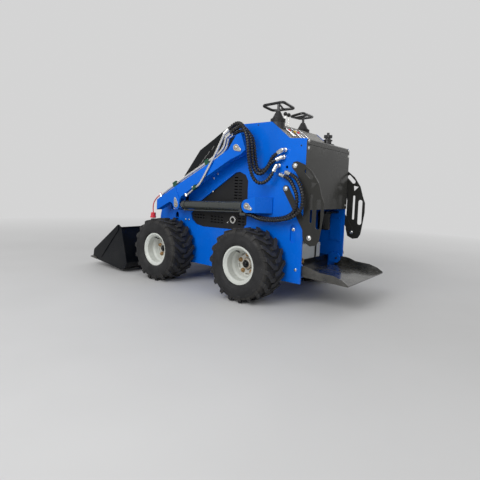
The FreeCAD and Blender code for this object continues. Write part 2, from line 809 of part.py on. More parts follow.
# Lift arm
def make_arm(side_name, side):
    body = new_body("arm")
    front = -s.arm_front
    lug_low = s.lift_height - 31
    corners = [
        (PIVOT[0] + 34, PIVOT[1] + 89),
        (PIVOT[0] - 2, PIVOT[1] + 82),
        (PIVOT[0] - 67, PIVOT[1] - 10),
        (PIVOT[0] - 180, PIVOT[1] - 73),
        (front + 252, s.cross_height + 128),
        (front, s.cross_height - 3),
        (front, s.cross_height - 80),
        (front + 149, s.cross_height - 11),
        (LIFT[0] - 47, LIFT[1] + 9),
        (LIFT[0] - 20, lug_low),
        (LIFT[0] + 14, lug_low),
        (LIFT[0] + 37, LIFT[1] + 57),
        (LIFT[0] + 275, LIFT[1] + 201),
        (PIVOT[0] - 48, PIVOT[1] - 76),
        (PIVOT[0] + 41, PIVOT[1] - 43),
        (PIVOT[0] + 76, PIVOT[1] - 15),
    ]
    holes = [(PIVOT, s.pivot_radius + s.run_gap), (LIFT, s.lift_pin + s.run_gap)]
    pad(body, "side", s.arm_wide, 0, outlines=[corners], circles=holes)
    clevis = [
        (LIFT[0] - 60, LIFT[1] - 60),
        (LIFT[0] + 60, LIFT[1] - 60),
        (LIFT[0] + 60, LIFT[1] + 46),
        (LIFT[0] - 60, LIFT[1] + 46),
    ]
    pocket(body, "side", s.lift_eye_wide + 4, 0, outlines=[clevis])
    doubler = [
        (LIFT[0] - 14, LIFT[1] + 124),
        (LIFT[0] + 17, LIFT[1] + 68),
        (LIFT[0] + 28, LIFT[1] + 40),
        (LIFT[0] + 28, LIFT[1] - 16),
        (LIFT[0] + 14, lug_low),
        (LIFT[0] - 20, lug_low),
        (LIFT[0] - 47, LIFT[1] + 9),
        (LIFT[0] - 80, LIFT[1] + 22),
        (LIFT[0] - 117, LIFT[1] + 60),
        (LIFT[0] - 108, LIFT[1] + 74),
    ]
    pad(body, "side", s.doubler, side * (s.arm_wide + s.doubler) / 2, outlines=[doubler], circles=holes[1:])
    keep(body, "lift_arm_" + side_name, side * ARM_MID)


def make_cross():
    """Cross tube between the arm beams with the two drop legs and the tilt cylinder's ears."""
    body = new_body("cross")
    centre = (-s.cross_ahead, s.cross_height)
    pad(body, "side", s.arm_in * 2, 0, circles=[(centre, s.cross_radius)])
    leg = [
        (-s.plate_front - 6, s.cross_height + 30),
        (-s.cross_ahead - 60, s.cross_height + 30),
        (-s.cross_ahead - 100, s.cross_height - 130),
        (TILT[0] - 26, TILT[1] + 90),
        (TILT[0] - s.leg_end, TILT[1]),
        (TILT[0] - 16, TILT[1] - 28),
        (TILT[0] + 16, TILT[1] - 28),
        (TILT[0] + s.leg_end, TILT[1]),
        (-s.plate_front - 6, TILT[1] + 190),
    ]
    for side in (1, -1):
        hole = [(TILT, s.tilt_pin + s.run_gap)]
        pad(body, "side", s.leg_thick, side * s.leg_at, outlines=[leg], circles=hole)
    ear = [
        (centre[0] + 20, centre[1]),
        (centre[0] + 10, centre[1] + 50),
        (RAM_BASE[0], RAM_BASE[1] + 26),
        (RAM_BASE[0] - 26, RAM_BASE[1]),
        (RAM_BASE[0], RAM_BASE[1] - 26),
        (centre[0] - 20, centre[1] - 20),
    ]
    gap = s.ram_eye_wide / 2 + 2
    for side in (1, -1):
        middle = side * (gap + s.ear_thick / 2)
        pad(body, "side", s.ear_thick, middle, outlines=[ear], circles=[(RAM_BASE, s.ram_pin + s.run_gap)])
    keep(body, "arm_crossmember")


for side_name, side in SIDES:
    make_arm(side_name, side)
make_cross()


# Cylinders, drawn in their own frame: pin at the origin, the rod's way along +Y
PORT_AT = as_size(62)
PORT_DROP = as_size(53)
PORTS = (-18, 7)


def bar_along(radius, start, end, x, z):
    """A round bar along a cylinder, beside and below its axis."""
    item = rod_along(radius, end - start, start)
    bind(item, "Placement.Base.x", x)
    bind(item, "Placement.Base.z", z)
    return item


def make_ports(tube, length):
    """Two ports under the barrel's base end, each with its hose fitting, and the steel line from the
    outer one to the gland end. In the barrel's own frame +Z is down."""
    line_drop = tube + 8
    gland = length - tube / 2
    pieces = [block(46, 26, tube, as_size(sum(PORTS)) / 2, PORT_AT, 6)]
    for x in PORTS:
        pieces.append(rod_up(9, PORT_DROP + 6, x, PORT_AT, 0))
        pieces.append(bar_along(s.crimp_wide / 2 - 1.5, PORT_AT - 42, PORT_AT + 4, x, PORT_DROP))
    pieces.append(rod_up(8, line_drop + 4, PORTS[1], gland, 0))
    pieces.append(bar_along(5, PORT_AT, gland, PORTS[1], line_drop))
    return pieces


def make_barrel(label, eye, eye_wide, pin, tube, bore, length, x, start, aim, ports=False):
    neck = eye + s.ear_thick * 3
    pieces = make_ports(tube, length) if ports else []
    pieces += [
        rod_across(eye, eye_wide),
        block(eye_wide, neck + 4, eye * 1.5, 0, (neck + 4) / 2, -eye * 0.75),
        rod_along(tube, length - neck, neck),
        rod_along(tube + 4, tube, length - tube),
    ]
    hollow = [rod_across(pin + s.run_gap, eye_wide + 2), rod_along(bore, length, neck + 8)]
    item = cut(join(pieces), hollow, label + "_solid")
    tilt = turn_of(aim[1] - start[1], aim[0] - start[0])
    keep(item, label, x, start[0], start[1], tilt)


def make_rod(label, eye, eye_wide, pin, radius, reach, x, start, aim):
    """Rod with its eye at the aim pin; reach is how far it goes back into the barrel."""
    pieces = [rod_across(eye, eye_wide), rod_along(radius, reach, 0)]
    item = cut(join(pieces), [rod_across(pin + s.run_gap, eye_wide + 2)], label + "_solid")
    tilt = turn_of(start[1] - aim[1], start[0] - aim[0])
    keep(item, label, x, aim[0], aim[1], tilt)


LIFT_BARREL = length_of(LIFT[1] - BASE[1], LIFT[0] - BASE[0]) - s.lift_gap
RAM_BARREL = length_of(RAM_LUG[1] - RAM_BASE[1], RAM_LUG[0] - RAM_BASE[0]) - s.ram_gap
for side_name, side in SIDES:
    make_barrel("lift_barrel_" + side_name, s.lift_eye, s.lift_eye_wide, s.lift_pin, s.lift_tube,
                s.lift_rod + s.run_gap, LIFT_BARREL, side * ARM_MID, BASE, LIFT, ports=True)
    make_rod("lift_rod_" + side_name, s.lift_eye, s.lift_eye_wide, s.lift_pin, s.lift_rod,
             LIFT_BARREL - 60, side * ARM_MID, BASE, LIFT)
make_barrel("tilt_barrel", s.ram_eye, s.ram_eye_wide, s.ram_pin, s.ram_tube,
            s.ram_rod + s.run_gap, RAM_BARREL, as_size(0), RAM_BASE, RAM_LUG)
make_rod("tilt_rod", s.ram_eye, s.ram_eye_wide, s.ram_pin, s.ram_rod,
         RAM_BARREL - 20, as_size(0), RAM_BASE, RAM_LUG)

# Pins. A pin that belongs to a cylinder's rod end is two stubs in the ears.
TAIL = (34, -17)
LIFT_TAIL = (-12, 45)


def add_retainer(body, side, centre, at, way):
    """Drop-shaped plate that keeps a pin in place, its outer face at the given distance."""
    tail = (centre[0] + way[0], centre[1] + way[1])
    pad(body, "side", s.retainer_thick, side * (at - s.retainer_thick / 2), slots=[
        (centre, tail, s.pivot_radius + 3, as_size(9)),
    ])


def make_pin(centre, radius, start, end, side, way=TAIL):
    """A pin from start to end on one side, with its retainer outside."""
    body = new_body("pin")
    pad(body, "side", end - start, side * ((start + end) / 2), circles=[(centre, radius)])
    add_retainer(body, side, centre, end, way)
    return body


def make_pins():
    outer = s.arm_in + s.arm_wide
    ear_end = ARM_MID + s.lift_eye_wide / 2 + 2 + s.ear_thick
    rod_gap = s.lift_eye_wide / 2 + 2
    reach = s.seat_gap + s.retainer_thick
    arm_pins = []
    base_pins = []
    for side_name, side in SIDES:
        arm_pins.append(make_pin(PIVOT, s.pivot_radius, PLATE_IN, outer + reach, side))
        lift_end = outer + s.doubler + reach
        arm_pins.append(make_pin(LIFT, s.lift_pin, ARM_MID + rod_gap, lift_end, side, LIFT_TAIL))
        inner_stub = rod_across(s.lift_pin, ARM_MID - rod_gap - s.arm_in, side * ((s.arm_in + ARM_MID - rod_gap) / 2),
                                LIFT[0], LIFT[1])
        arm_pins.append(inner_stub)
        base_pins.append(make_pin(BASE, s.lift_pin, s.plate_out + s.seat_gap, ear_end + reach, side))
    ram = s.ram_eye_wide / 2 + 2 + s.ear_thick
    arm_pins.append(rod_across(s.ram_pin, (ram + s.seat_gap) * 2, 0, RAM_BASE[0], RAM_BASE[1]))
    for side in (1, -1):
        head = rod_across(s.ram_pin + 5, s.ear_thick / 2, side * (ram + s.seat_gap + s.ear_thick / 4),
                          RAM_BASE[0], RAM_BASE[1])
        arm_pins.append(head)
    keep(join(arm_pins, "arm_pins"), "arm_pins")
    keep(join(base_pins, "base_pins"), "base_pins")

    bucket_pins = []
    for side in (1, -1):
        half = s.leg_thick / 2 + s.mount_gap + s.mount_ear + s.seat_gap
        bucket_pins.append(rod_across(s.tilt_pin, half * 2, side * s.leg_at, TILT[0], TILT[1]))
        for end in (1, -1):
            bucket_pins.append(rod_across(s.tilt_pin + 6, s.retainer_thick,
                                          side * s.leg_at + end * (half + s.retainer_thick / 2), TILT[0], TILT[1]))
        start = s.ram_eye_wide / 2 + 2
        end = start + s.ear_thick + s.seat_gap
        bucket_pins.append(rod_across(s.ram_pin, end - start, side * ((start + end) / 2), RAM_LUG[0], RAM_LUG[1]))
        bucket_pins.append(rod_across(s.ram_pin + 5, s.retainer_thick, side * (end + s.retainer_thick / 2),
                                      RAM_LUG[0], RAM_LUG[1]))
    keep(join(bucket_pins, "bucket_pins"), "bucket_pins")


make_pins()

# Bucket
HEEL = (-s.heel_ahead, s.heel_height)
BACK_LOW = (HEEL[0] + 77, HEEL[1] + 62)
BACK_HIGH = (-s.heel_ahead - 3, s.bucket_tall)
FLOOR_END = (-s.lip_reach + s.edge_long, s.lip_height - 12)
LEAN = (BACK_LOW[0] - BACK_HIGH[0]) / (BACK_HIGH[1] - BACK_LOW[1])


def back_at(height):
    """Place of the bucket's back wall, outside, at a height."""
    return BACK_HIGH[0] + LEAN * (BACK_HIGH[1] - height)


def make_bucket():
    body = new_body("bucket")
    skin = s.bucket_skin
    side_view = [
        BACK_HIGH,
        BACK_LOW,
        (BACK_LOW[0] - 16, BACK_LOW[1] - 37),
        HEEL,
        FLOOR_END,
        (FLOOR_END[0], FLOOR_END[1] + s.edge_thick + s.seat_gap),
        (FLOOR_END[0] - 47, FLOOR_END[1] + s.edge_thick + s.seat_gap + 5),
        (FLOOR_END[0] - 47, FLOOR_END[1] + 30),
        (FLOOR_END[0] - 36, FLOOR_END[1] + 83),
        (BACK_HIGH[0] - 40, BACK_HIGH[1] + 23),
        (BACK_HIGH[0] - 2, BACK_HIGH[1] + 2),
    ]
    inside = [
        (BACK_HIGH[0] - skin - LEAN * 100, BACK_HIGH[1] + 100),
        (BACK_LOW[0] - skin - 0.4, BACK_LOW[1] + 2),
        (BACK_LOW[0] - skin - 15, BACK_LOW[1] - 33),
        (HEEL[0], HEEL[1] + skin),
        (FLOOR_END[0], FLOOR_END[1] + skin),
        (FLOOR_END[0] - 100, FLOOR_END[1] + skin + 10),
        (FLOOR_END[0] - 100, BACK_HIGH[1] + 100),
    ]
    wide = (s.bucket_half - s.side_cutter) * 2
    pad(body, "side", wide, 0, outlines=[side_view])
    pocket(body, "side", wide - s.bucket_side * 2, 0, outlines=[inside])
    cutter = [
        (HEEL[0] - 36, BACK_HIGH[1] - 16),
        (FLOOR_END[0] + 70, FLOOR_END[1] + 26),
        (FLOOR_END[0] - 47, FLOOR_END[1] + s.edge_thick + s.seat_gap + 5),
        (FLOOR_END[0] - 47, FLOOR_END[1] + 30),
        (FLOOR_END[0] - 36, FLOOR_END[1] + 83),
        (BACK_HIGH[0] - 40, BACK_HIGH[1] + 23),
    ]
    for side in (1, -1):
        pad(body, "side", s.side_cutter, side * (s.bucket_half - s.side_cutter / 2), outlines=[cutter])
    keep(body, "bucket")


def make_cutting_edge():
    body = new_body("cutting_edge")
    start = (FLOOR_END[0] - s.seat_gap, FLOOR_END[1])
    outline = [
        start,
        (start[0], start[1] + s.edge_thick),
        (-s.lip_reach + 24, s.lip_height + s.edge_thick - 6),
        (-s.lip_reach, s.lip_height),
        (-s.lip_reach + 6, s.lip_height - 3),
    ]
    pad(body, "side", s.bucket_half * 2, 0, outlines=[outline])
    keep(body, "cutting_edge")


def make_bucket_mount():
    """Plate on the bucket's back with two ears at each drop leg and two at the tilt cylinder."""
    body = new_body("mount")
    low = TILT[1] - 5
    high = RAM_LUG[1] + 60
    gap = s.seat_gap
    thick = s.mount_plate
    plate = [
        (back_at(low) + gap, low),
        (back_at(high) + gap, high),
        (back_at(high) + gap + thick, high + 3),
        (back_at(low) + gap + thick, low + 3),
    ]
    half = s.leg_at + s.leg_thick / 2 + s.mount_gap + s.mount_ear
    pad(body, "side", half * 2, 0, outlines=[plate])
    notch = [
        (back_at(RAM_LUG[1] - 48), RAM_LUG[1] - 48),
        (back_at(RAM_LUG[1] + 42), RAM_LUG[1] + 42),
        (RAM_LUG[0], RAM_LUG[1] + 42),
        (RAM_LUG[0], RAM_LUG[1] - 48),
    ]
    pocket(body, "side", s.ram_eye_wide + 4, 0, outlines=[notch])
    hinge_ear = [
        (back_at(low + 4) + gap + 2, low + 4),
        (back_at(TILT[1] + 100) + gap + 2, TILT[1] + 100),
        (TILT[0] - 30, TILT[1] + 45),
        (TILT[0] - 2, TILT[1] + 26),
        (TILT[0] + 20, TILT[1] + 18),
        (TILT[0] + 25, TILT[1] - 4),
        (TILT[0] + 13, TILT[1] - 23),
        (TILT[0] - 10, TILT[1] - 25),
    ]
    hole = s.tilt_pin + s.run_gap
    for side in (1, -1):
        for end in (1, -1):
            at = side * s.leg_at + end * (s.leg_thick / 2 + s.mount_gap + s.mount_ear / 2)
            pad(body, "side", s.mount_ear, at, outlines=[hinge_ear], circles=[(TILT, hole)])
    ram_ear = [
        (back_at(RAM_LUG[1] - 60) + gap + 2, RAM_LUG[1] - 60),
        (back_at(RAM_LUG[1] + 50) + gap + 2, RAM_LUG[1] + 50),
        (RAM_LUG[0] - 6, RAM_LUG[1] + 20),
        (RAM_LUG[0] + 13, RAM_LUG[1] + 15),
        (RAM_LUG[0] + 20, RAM_LUG[1]),
        (RAM_LUG[0] + 13, RAM_LUG[1] - 15),
    ]
    for side in (1, -1):
        at = side * (s.ram_eye_wide / 2 + 2 + s.ear_thick / 2)
        pad(body, "side", s.ear_thick, at, outlines=[ram_ear], circles=[(RAM_LUG, s.ram_pin + s.run_gap)])
    keep(body, "bucket_mount")


make_bucket()
make_cutting_edge()
make_bucket_mount()


# Operator's platform and its hinge lugs
def make_platform():
    body = new_body("platform")
    rear = s.platform_rear
    front = s.hinge_rear - 20
    thick = s.floor_thick
    top = s.floor_height
    floor = [
        (front, top + 4),
        (rear, top - 9),
        (rear, top - 9 - thick),
        (front, top + 4 - thick),
    ]
    wing = [
        (front, top + 4 - thick),
        (rear, top - 9 - thick),
        (rear, top - 3),
        (rear - 8, top + 2),
        (rear - 36, top + s.wing_height - 37),
        (rear - 91, top + s.wing_height - 21),
        (rear - 191, top + s.wing_height - 15),
        (rear - 236, top + s.wing_height + 1),
        (rear - 264, top + s.wing_height + 5),
        (front, top + s.wing_height + 5),
    ]
    pad(body, "side", s.platform_half * 2, 0, outlines=[floor])
    for side in (1, -1):
        pad(body, "side", thick, side * (s.platform_half - thick / 2), outlines=[wing])
        pin_in = s.platform_half - thick - s.lug_gap - s.lug_thick - 4
        pad(body, "side", s.platform_half - pin_in, side * ((s.platform_half + pin_in) / 2),
            circles=[(HINGE, s.hinge_pin)])
    keep(body, "platform")


def make_lugs():
    """Rounded lug on each side plate that carries the platform's hinge."""
    lugs = []
    ear_out = s.platform_half - s.floor_thick - s.lug_gap
    for side in (1, -1):
        body = new_body("lug")
        mid = side * (ear_out - s.lug_thick / 2)
        ear = [
            (HINGE[0] - 57, HINGE[1] - 25),
            (HINGE[0] - 57, HINGE[1] + 15),
            (HINGE[0] - 40, HINGE[1] + 35),
            (HINGE[0] + 8, HINGE[1] + 35),
            (HINGE[0] + 26, HINGE[1] + 16),
            (HINGE[0] + 26, HINGE[1] - 12),
            (HINGE[0] + 10, HINGE[1] - 33),
            (HINGE[0] - 49, HINGE[1] - 33),
        ]
        pad(body, "side", s.lug_thick, mid, outlines=[ear], circles=[(HINGE, s.hinge_pin + s.run_gap)])
        round_corners(body, "side", ear, 8)
        foot = [
            (HINGE[0] - 57, HINGE[1] - 25),
            (HINGE[0] - 57, HINGE[1] + 15),
            (HINGE[0] - 34, HINGE[1] + 15),
            (HINGE[0] - 34, HINGE[1] - 25),
        ]
        foot_end = PLATE_IN - s.seat_gap
        foot_start = ear_out - s.lug_thick
        pad(body, "side", foot_end - foot_start, side * ((foot_end + foot_start) / 2), outlines=[foot])
        lugs.append(body)
    keep(join(lugs, "lugs"), "platform_lugs")


def make_tray():
    body = new_body("tray")
    rear = s.hinge_rear - 77
    low = s.plate_low + s.sheet_thick * 2 + s.seat_gap
    high = s.tray_top
    thick = s.sheet_thick
    outline = [
        (rear, low),
        (rear, high),
        (rear - 105, high),
        (rear - 105, high - thick),
        (rear - thick, high - thick),
        (rear - thick, low),
    ]
    pad(body, "side", PLATE_IN * 2 - s.seat_gap * 2, 0, outlines=[outline])
    keep(body, "battery_tray")
    box = block(320, 88, 100, -10, rear - 8 - 44, high + s.seat_gap)
    keep(join([box, block(300, 70, 4, -10, rear - 8 - 44, high + s.seat_gap + 100)], "battery"), "battery_box")


make_platform()
make_lugs()
make_tray()


# Tower: grilles, console, rear cover, guards
# Groups of slots in the side grille: rear end and height of the first slot, columns, rows, and the
# pitch and length of the slots along the machine
SLOT_GROUPS = [
    (-164, 748, 1, 7, 0, 30),
    (-201, 768, 1, 8, 0, 30),
    (-501, 492, 4, 2, 28, 18),
    (-322, 490, 4, 3, 32, 20),
    (-130, 512, 2, 4, 34, 24),
]
SLOT_DROP = 20


def make_slots():
    """Bars across the whole machine that cut the slots of both grilles."""
    bars = []
    for start, height, columns, rows, pitch, long in SLOT_GROUPS:
        for column in range(columns):
            for row in range(rows):
                bars.append(block(PLATE_IN * 2, long, s.slot_half * 2, 0, start - column * pitch - long / 2,
                                  height - row * SLOT_DROP - s.slot_half))
    return join(bars, "slots")


def make_grille(side_name, side, slots):
    body = new_body("grille")
    thick = s.grille_thick
    corners = [
        (as_size(-640), as_size(405)),
        (as_size(-640), as_size(515)),
        (as_size(-538), as_size(610)),
        (as_size(-214), as_size(814)),
        (as_size(-95), as_size(814)),
        (as_size(-95), as_size(405)),
    ]
    pad(body, "side", thick, side * (PLATE_IN - s.seat_gap - thick / 2), outlines=[corners])
    keep(cut(body, [slots], "grille"), "side_grille_" + side_name)


def make_console():
    body = new_body("console")
    thick = s.sheet_thick
    top = s.tower_top - 2
    foot = (s.deck_front - 1, s.deck_top - 2)
    outline = [
        (-s.tower_front + 42, top),
        (s.knee_rear - 1, top),
        foot,
        (foot[0] - 4, foot[1] - 3),
        (s.knee_rear - 3, top - thick),
        (-s.tower_front + 42, top - thick),
    ]
    pad(body, "side", PLATE_IN * 2 - s.seat_gap * 2, 0, outlines=[outline])
    keep(body, "console_plate")


def make_rear_cover():
    body = new_body("cover")
    thick = s.sheet_thick
    top = s.deck_top - 2
    rear = s.plate_rear + s.seat_gap
    deck = [
        (s.deck_front + 2, top),
        (rear - 4, top - 4),
        (rear + thick, top - 11),
        (rear + thick, top - 30),
        (rear, top - 30),
        (rear, top - 12),
        (rear - 7, top - 9),
        (s.deck_front + 2, top - thick),
    ]
    wall = [
        (rear, s.cover_low),
        (rear, top - 14),
        (rear + thick, top - 14),
        (rear + thick, s.cover_low),
    ]
    pad(body, "side", PLATE_IN * 2 - s.seat_gap * 2, 0, outlines=[deck])
    pad(body, "side", s.plate_out * 2, 0, outlines=[wall])
    seam = [
        (rear + thick - 1.5, s.cover_seam),
        (rear + thick - 1.5, s.cover_seam + 3),
        (rear + thick + 1, s.cover_seam + 3),
        (rear + thick + 1, s.cover_seam),
    ]
    pocket(body, "side", s.plate_out * 2 + 2, 0, outlines=[seam])
    keep(body, "rear_cover")


GUARD_BOLT = (as_size(250), as_size(843))
GUARD_FOOT = (as_size(367), as_size(421))
LINK_BOLT = (as_size(188), as_size(705))


def make_guard(side_name, side):
    body = new_body("guard")
    thick = s.guard_thick
    start = s.plate_out + s.seat_gap * 2 + thick
    outline = [
        (GUARD_BOLT[0] - 22, GUARD_BOLT[1] + 4),
        (GUARD_BOLT[0] - 10, GUARD_BOLT[1] + 22),
        (GUARD_BOLT[0] + 14, GUARD_BOLT[1] + 26),
        (GUARD_BOLT[0] + 63, GUARD_BOLT[1] + 7),
        (GUARD_BOLT[0] + 118, GUARD_BOLT[1] - 37),
        (GUARD_BOLT[0] + 162, GUARD_BOLT[1] - 101),
        (GUARD_BOLT[0] + 182, GUARD_BOLT[1] - 168),
        (GUARD_BOLT[0] + 200, GUARD_BOLT[1] - 213),
        (GUARD_BOLT[0] + 201, GUARD_BOLT[1] - 280),
        (GUARD_BOLT[0] + 186, GUARD_BOLT[1] - 390),
        (GUARD_FOOT[0] + 62, GUARD_FOOT[1] - 12),
        (GUARD_FOOT[0] + 45, GUARD_FOOT[1] - 40),
        (GUARD_FOOT[0] + 8, GUARD_FOOT[1] - 48),
        (GUARD_FOOT[0] - 32, GUARD_FOOT[1] - 30),
        (GUARD_FOOT[0] - 46, GUARD_FOOT[1] + 20),
        (GUARD_BOLT[0] + 71, GUARD_BOLT[1] - 202),
        (GUARD_BOLT[0] + 53, GUARD_BOLT[1] - 111),
        (GUARD_BOLT[0] + 8, GUARD_BOLT[1] - 40),
        (GUARD_BOLT[0] - 18, GUARD_BOLT[1] - 14),
    ]
    triangle = [
        (GUARD_BOLT[0] + 150, GUARD_BOLT[1] - 103),
        (GUARD_BOLT[0] + 114, GUARD_BOLT[1] - 96),
        (GUARD_BOLT[0] + 118, GUARD_BOLT[1] - 134),
    ]
    pad(body, "side", thick, side * (start + thick / 2), outlines=[outline, triangle], slots=[
        ((GUARD_BOLT[0] + 78, GUARD_BOLT[1] - 34), (GUARD_BOLT[0] + 112, GUARD_BOLT[1] - 68), 13),
        ((GUARD_BOLT[0] + 121, GUARD_BOLT[1] - 172), (GUARD_BOLT[0] + 121, GUARD_BOLT[1] - 326), 8),
        ((GUARD_BOLT[0] + 168, GUARD_BOLT[1] - 208), (GUARD_BOLT[0] + 168, GUARD_BOLT[1] - 352), 15),
    ])
    spacer = thick + s.seat_gap
    pad(body, "side", spacer, side * (start - spacer / 2), circles=[(GUARD_BOLT, 20)])
    keep(body, "guard_" + side_name)


def make_links():
    links = []
    for side in (1, -1):
        body = new_body("link")
        at = s.plate_out + s.seat_gap + s.guard_thick / 2
        pad(body, "side", s.guard_thick, side * at, slots=[(LINK_BOLT, GUARD_FOOT, 20)])
        links.append(body)
    keep(join(links, "links"), "guard_links")


slots = make_slots()
for side_name, side in SIDES:
    make_grille(side_name, side, slots)
    make_guard(side_name, side)
make_console()
make_rear_cover()
make_links()


def tube(points, diameter, closed=False):
    """Round tube along straight runs joined by tangent arcs, each arc as large as its two runs allow."""
    spots = [Vector(*point) for point in points]
    count = len(spots)
    corners = []
    for index in range(count):
        if not closed and index in (0, count - 1):
            corners.append((spots[index], spots[index], None))
            continue
        before = spots[index - 1]
        after = spots[(index + 1) % count]
        back = before - spots[index]
        ahead = after - spots[index]
        turn = math.pi - back.getAngle(ahead)
        cut_off = 0.45 * min(back.Length, ahead.Length)
        radius = cut_off / math.tan(turn / 2)
        first = spots[index] + back.normalize() * cut_off
        last = spots[index] + ahead.normalize() * cut_off
        toward = (first + last) / 2 - spots[index]
        reach = math.hypot(radius, cut_off) - radius
        corners.append((first, last, spots[index] + toward.normalize() * reach))
        RADII.append(radius)
    edges = []
    for index in range(count):
        first, last, middle = corners[index]
        if middle is not None:
            edges.append(Part.Arc(first, middle, last).toShape())
        if index < count - 1 or closed:
            edges.append(Part.LineSegment(last, corners[(index + 1) % count][0]).toShape())
    path = Part.Wire(edges)
    start = path.Edges[-1] if closed else path.Edges[0]
    aim = start.tangentAt(start.LastParameter if closed else start.FirstParameter)
    from_point = start.valueAt(start.LastParameter if closed else start.FirstParameter)
    ring = Part.Wire([Part.Circle(from_point, aim, diameter / 2).toShape()])
    shape = path.makePipeShell([ring], True, False)
    expected = math.pi * diameter * diameter / 4 * path.Length
    if abs(shape.Volume / expected - 1) > 0.01:
        raise RuntimeError("a tube has %.0f mm3 in place of %.0f" % (shape.Volume, expected))
    return shape, path.Length


RADII = []


def keep_shape(label, shapes):
    item = doc.addObject("Part::Feature", label)
    item.Shape = shapes[0] if len(shapes) == 1 else Part.makeCompound(shapes)
    item.Label = label
    item.Placement = FreeCAD.Placement(Vector(0, MIDDLE.value, 0), FreeCAD.Rotation())
    PARTS.append(item)
    return item


# Drive handles: a boot on the console, a stem and a bent ring on top of it
HANDLES = {
    "left": ((244, 68), 1124, 1246, [(205, -92), (290, 5), (262, 108), (90, 84)]),
    "right": ((-150, 22), 1118, 1240, [(-109, -69), (-248, 0), (-244, 58), (-41, 72)]),
}


def make_handle(side_name):
    (x, y), base, top, ring = HANDLES[side_name]
    shape, length = tube([(a, b, top) for a, b in ring], 18, closed=True)
    pieces = [shape]
    stem = Part.makeCylinder(9, top - base - 50, Vector(x, y, base + 50))
    mid_x = sum(a for a, b in ring) / 4
    for end in (0, 2):
        a = Vector(ring[end][0] * 0.88 + mid_x * 0.12, ring[end][1] * 0.88 + y * 0.12, top)
        start = Vector(x, y, top - 6)
        pieces.append(Part.makeCylinder(7, (a - start).Length, start, a - start))
    pieces.append(stem)
    whole = pieces[0].fuse(pieces[1:])
    keep_shape("drive_handle_" + side_name, whole.Solids)
    return x, y, base


boots = []
knee = s.knee_rear.value - 1
console_top = s.tower_top.value - 2 + s.seat_gap.value
fall = (s.tower_top.value - s.deck_top.value) / (s.deck_front.value - s.knee_rear.value)
under = Part.Face(Part.makePolygon([
    Vector(-400, knee - 300, console_top),
    Vector(-400, knee, console_top),
    Vector(-400, knee + 200, console_top - 200 * fall),
    Vector(-400, knee - 300, console_top - 200 * fall),
    Vector(-400, knee - 300, console_top),
])).extrude(Vector(800, 0, 0))
for side_name, side in SIDES:
    x, y, base = make_handle(side_name)
    skirt = Part.makeCylinder(45, 90, Vector(x, y, base - 74))
    cone = Part.makeCone(40, 14, 50, Vector(x, y, base + 16))
    boot = skirt.fuse(cone).cut(under)
    boots.append(boot.cut(Part.makeCylinder(9.3, 200, Vector(x, y, base + 49))))
keep_shape("lever_boots", boots)

# Hydraulic hoses and pipes. A route's points are (x, y, z), chosen by hand.
ARM_HOSES = [
    [(345, 118, 806), (356, 104, 768), (370, 72, 734), (384, 28, 733), (396, -1, 770), (407, -17, 830),
     (413, -28, 915), (414, -35, 992), (410, -60, 1058), (400, -100, 1101), (391, -144, 1114),
     (393, -180, 1100), (401, -206, 1074)],
    [(334, 128, 878), (345, 94, 862), (352, 70, 816), (360, 36, 788), (370, 4, 796), (378, -13, 838),
     (383, -22, 905), (384, -28, 985), (382, -48, 1041), (377, -84, 1073), (374, -118, 1090),
     (376, -150, 1087), (381, -178, 1070), (385, -204, 1050)],
    [(332, 136, 921), (329, 98, 903), (326, 72, 852), (330, 44, 818), (337, 12, 807), (345, -9, 832),
     (352, -17, 882), (357, -23, 950), (358, -36, 1008), (359, -64, 1044), (360, -98, 1063),
     (359, -131, 1067), (358, -164, 1062), (358, -198, 1047)],
]
LIFT_HOSES = [
    [(329, 192, 776), (337, 230, 765), (345, 264, 722), (350, 290, 678), (351, 299, 632),
     (349, 290, 588), (345, 260, 553), (341, 214, 530), (338, 150, 518), (339, 80, 514),
     (344, 22, 520), (354.5, -19.9, 533.5), (354.5, -50.75, 532.24)],
    [(329, 232, 790), (337, 270, 777), (344, 306, 732), (350, 330, 684), (351, 338, 636),
     (350, 328, 589), (354, 300, 555), (361, 252, 528), (365, 190, 514), (366, 115, 506),
     (368, 40, 508), (379.5, -15.9, 533.6), (379.5, -50.75, 532.24)],
]
# Steel pipes on the arm, after the crimped sleeve: one over its outer face, two along its top edge
ARM_PIPES = [
    [(409.5, -264, 991), (409.5, -307, 917), (409.5, -360, 836), (409.5, -406, 765),
     (409.5, -447, 712), (404, -490, 688), (394, -532, 666), (388, -594, 630)],
    [(386, -252, 968), (386, -288, 929), (386, -345, 895), (386, -423, 855),
     (386, -584, 776), (386, -698, 718), (386, -790, 668), (386, -875.5, 620.5)],
    [(360, -250, 964), (360, -284, 925), (360, -340, 892), (360, -422, 852),
     (360, -583, 773), (360, -700, 714), (360, -792, 664), (360, -875.5, 620.5)],
]
CRIMP = 42


def end_of(route, back=False):
    """The end of a route and the way out of it there."""
    first, second = (route[0], route[1]) if back else (route[-1], route[-2])
    way = Vector(*first) - Vector(*second)
    return Vector(*first), way.normalize()


def sleeve(first, second, diameter):
    """Round sleeve from one point to another."""
    way = second - first
    return Part.makeCylinder(diameter / 2, way.Length, first, way)


def fuse_all(shapes):
    return shapes[0].fuse(shapes[1:]).removeSplitter()


def make_hoses(name, routes):
    for number, route in enumerate(routes, start=1):
        shape, length = tube(route, s.hose_wide.value - 2)
        keep_shape("%s_%d" % (name, number), [shape])
        print("%s_%d is %.0f mm long" % (name, number, length))


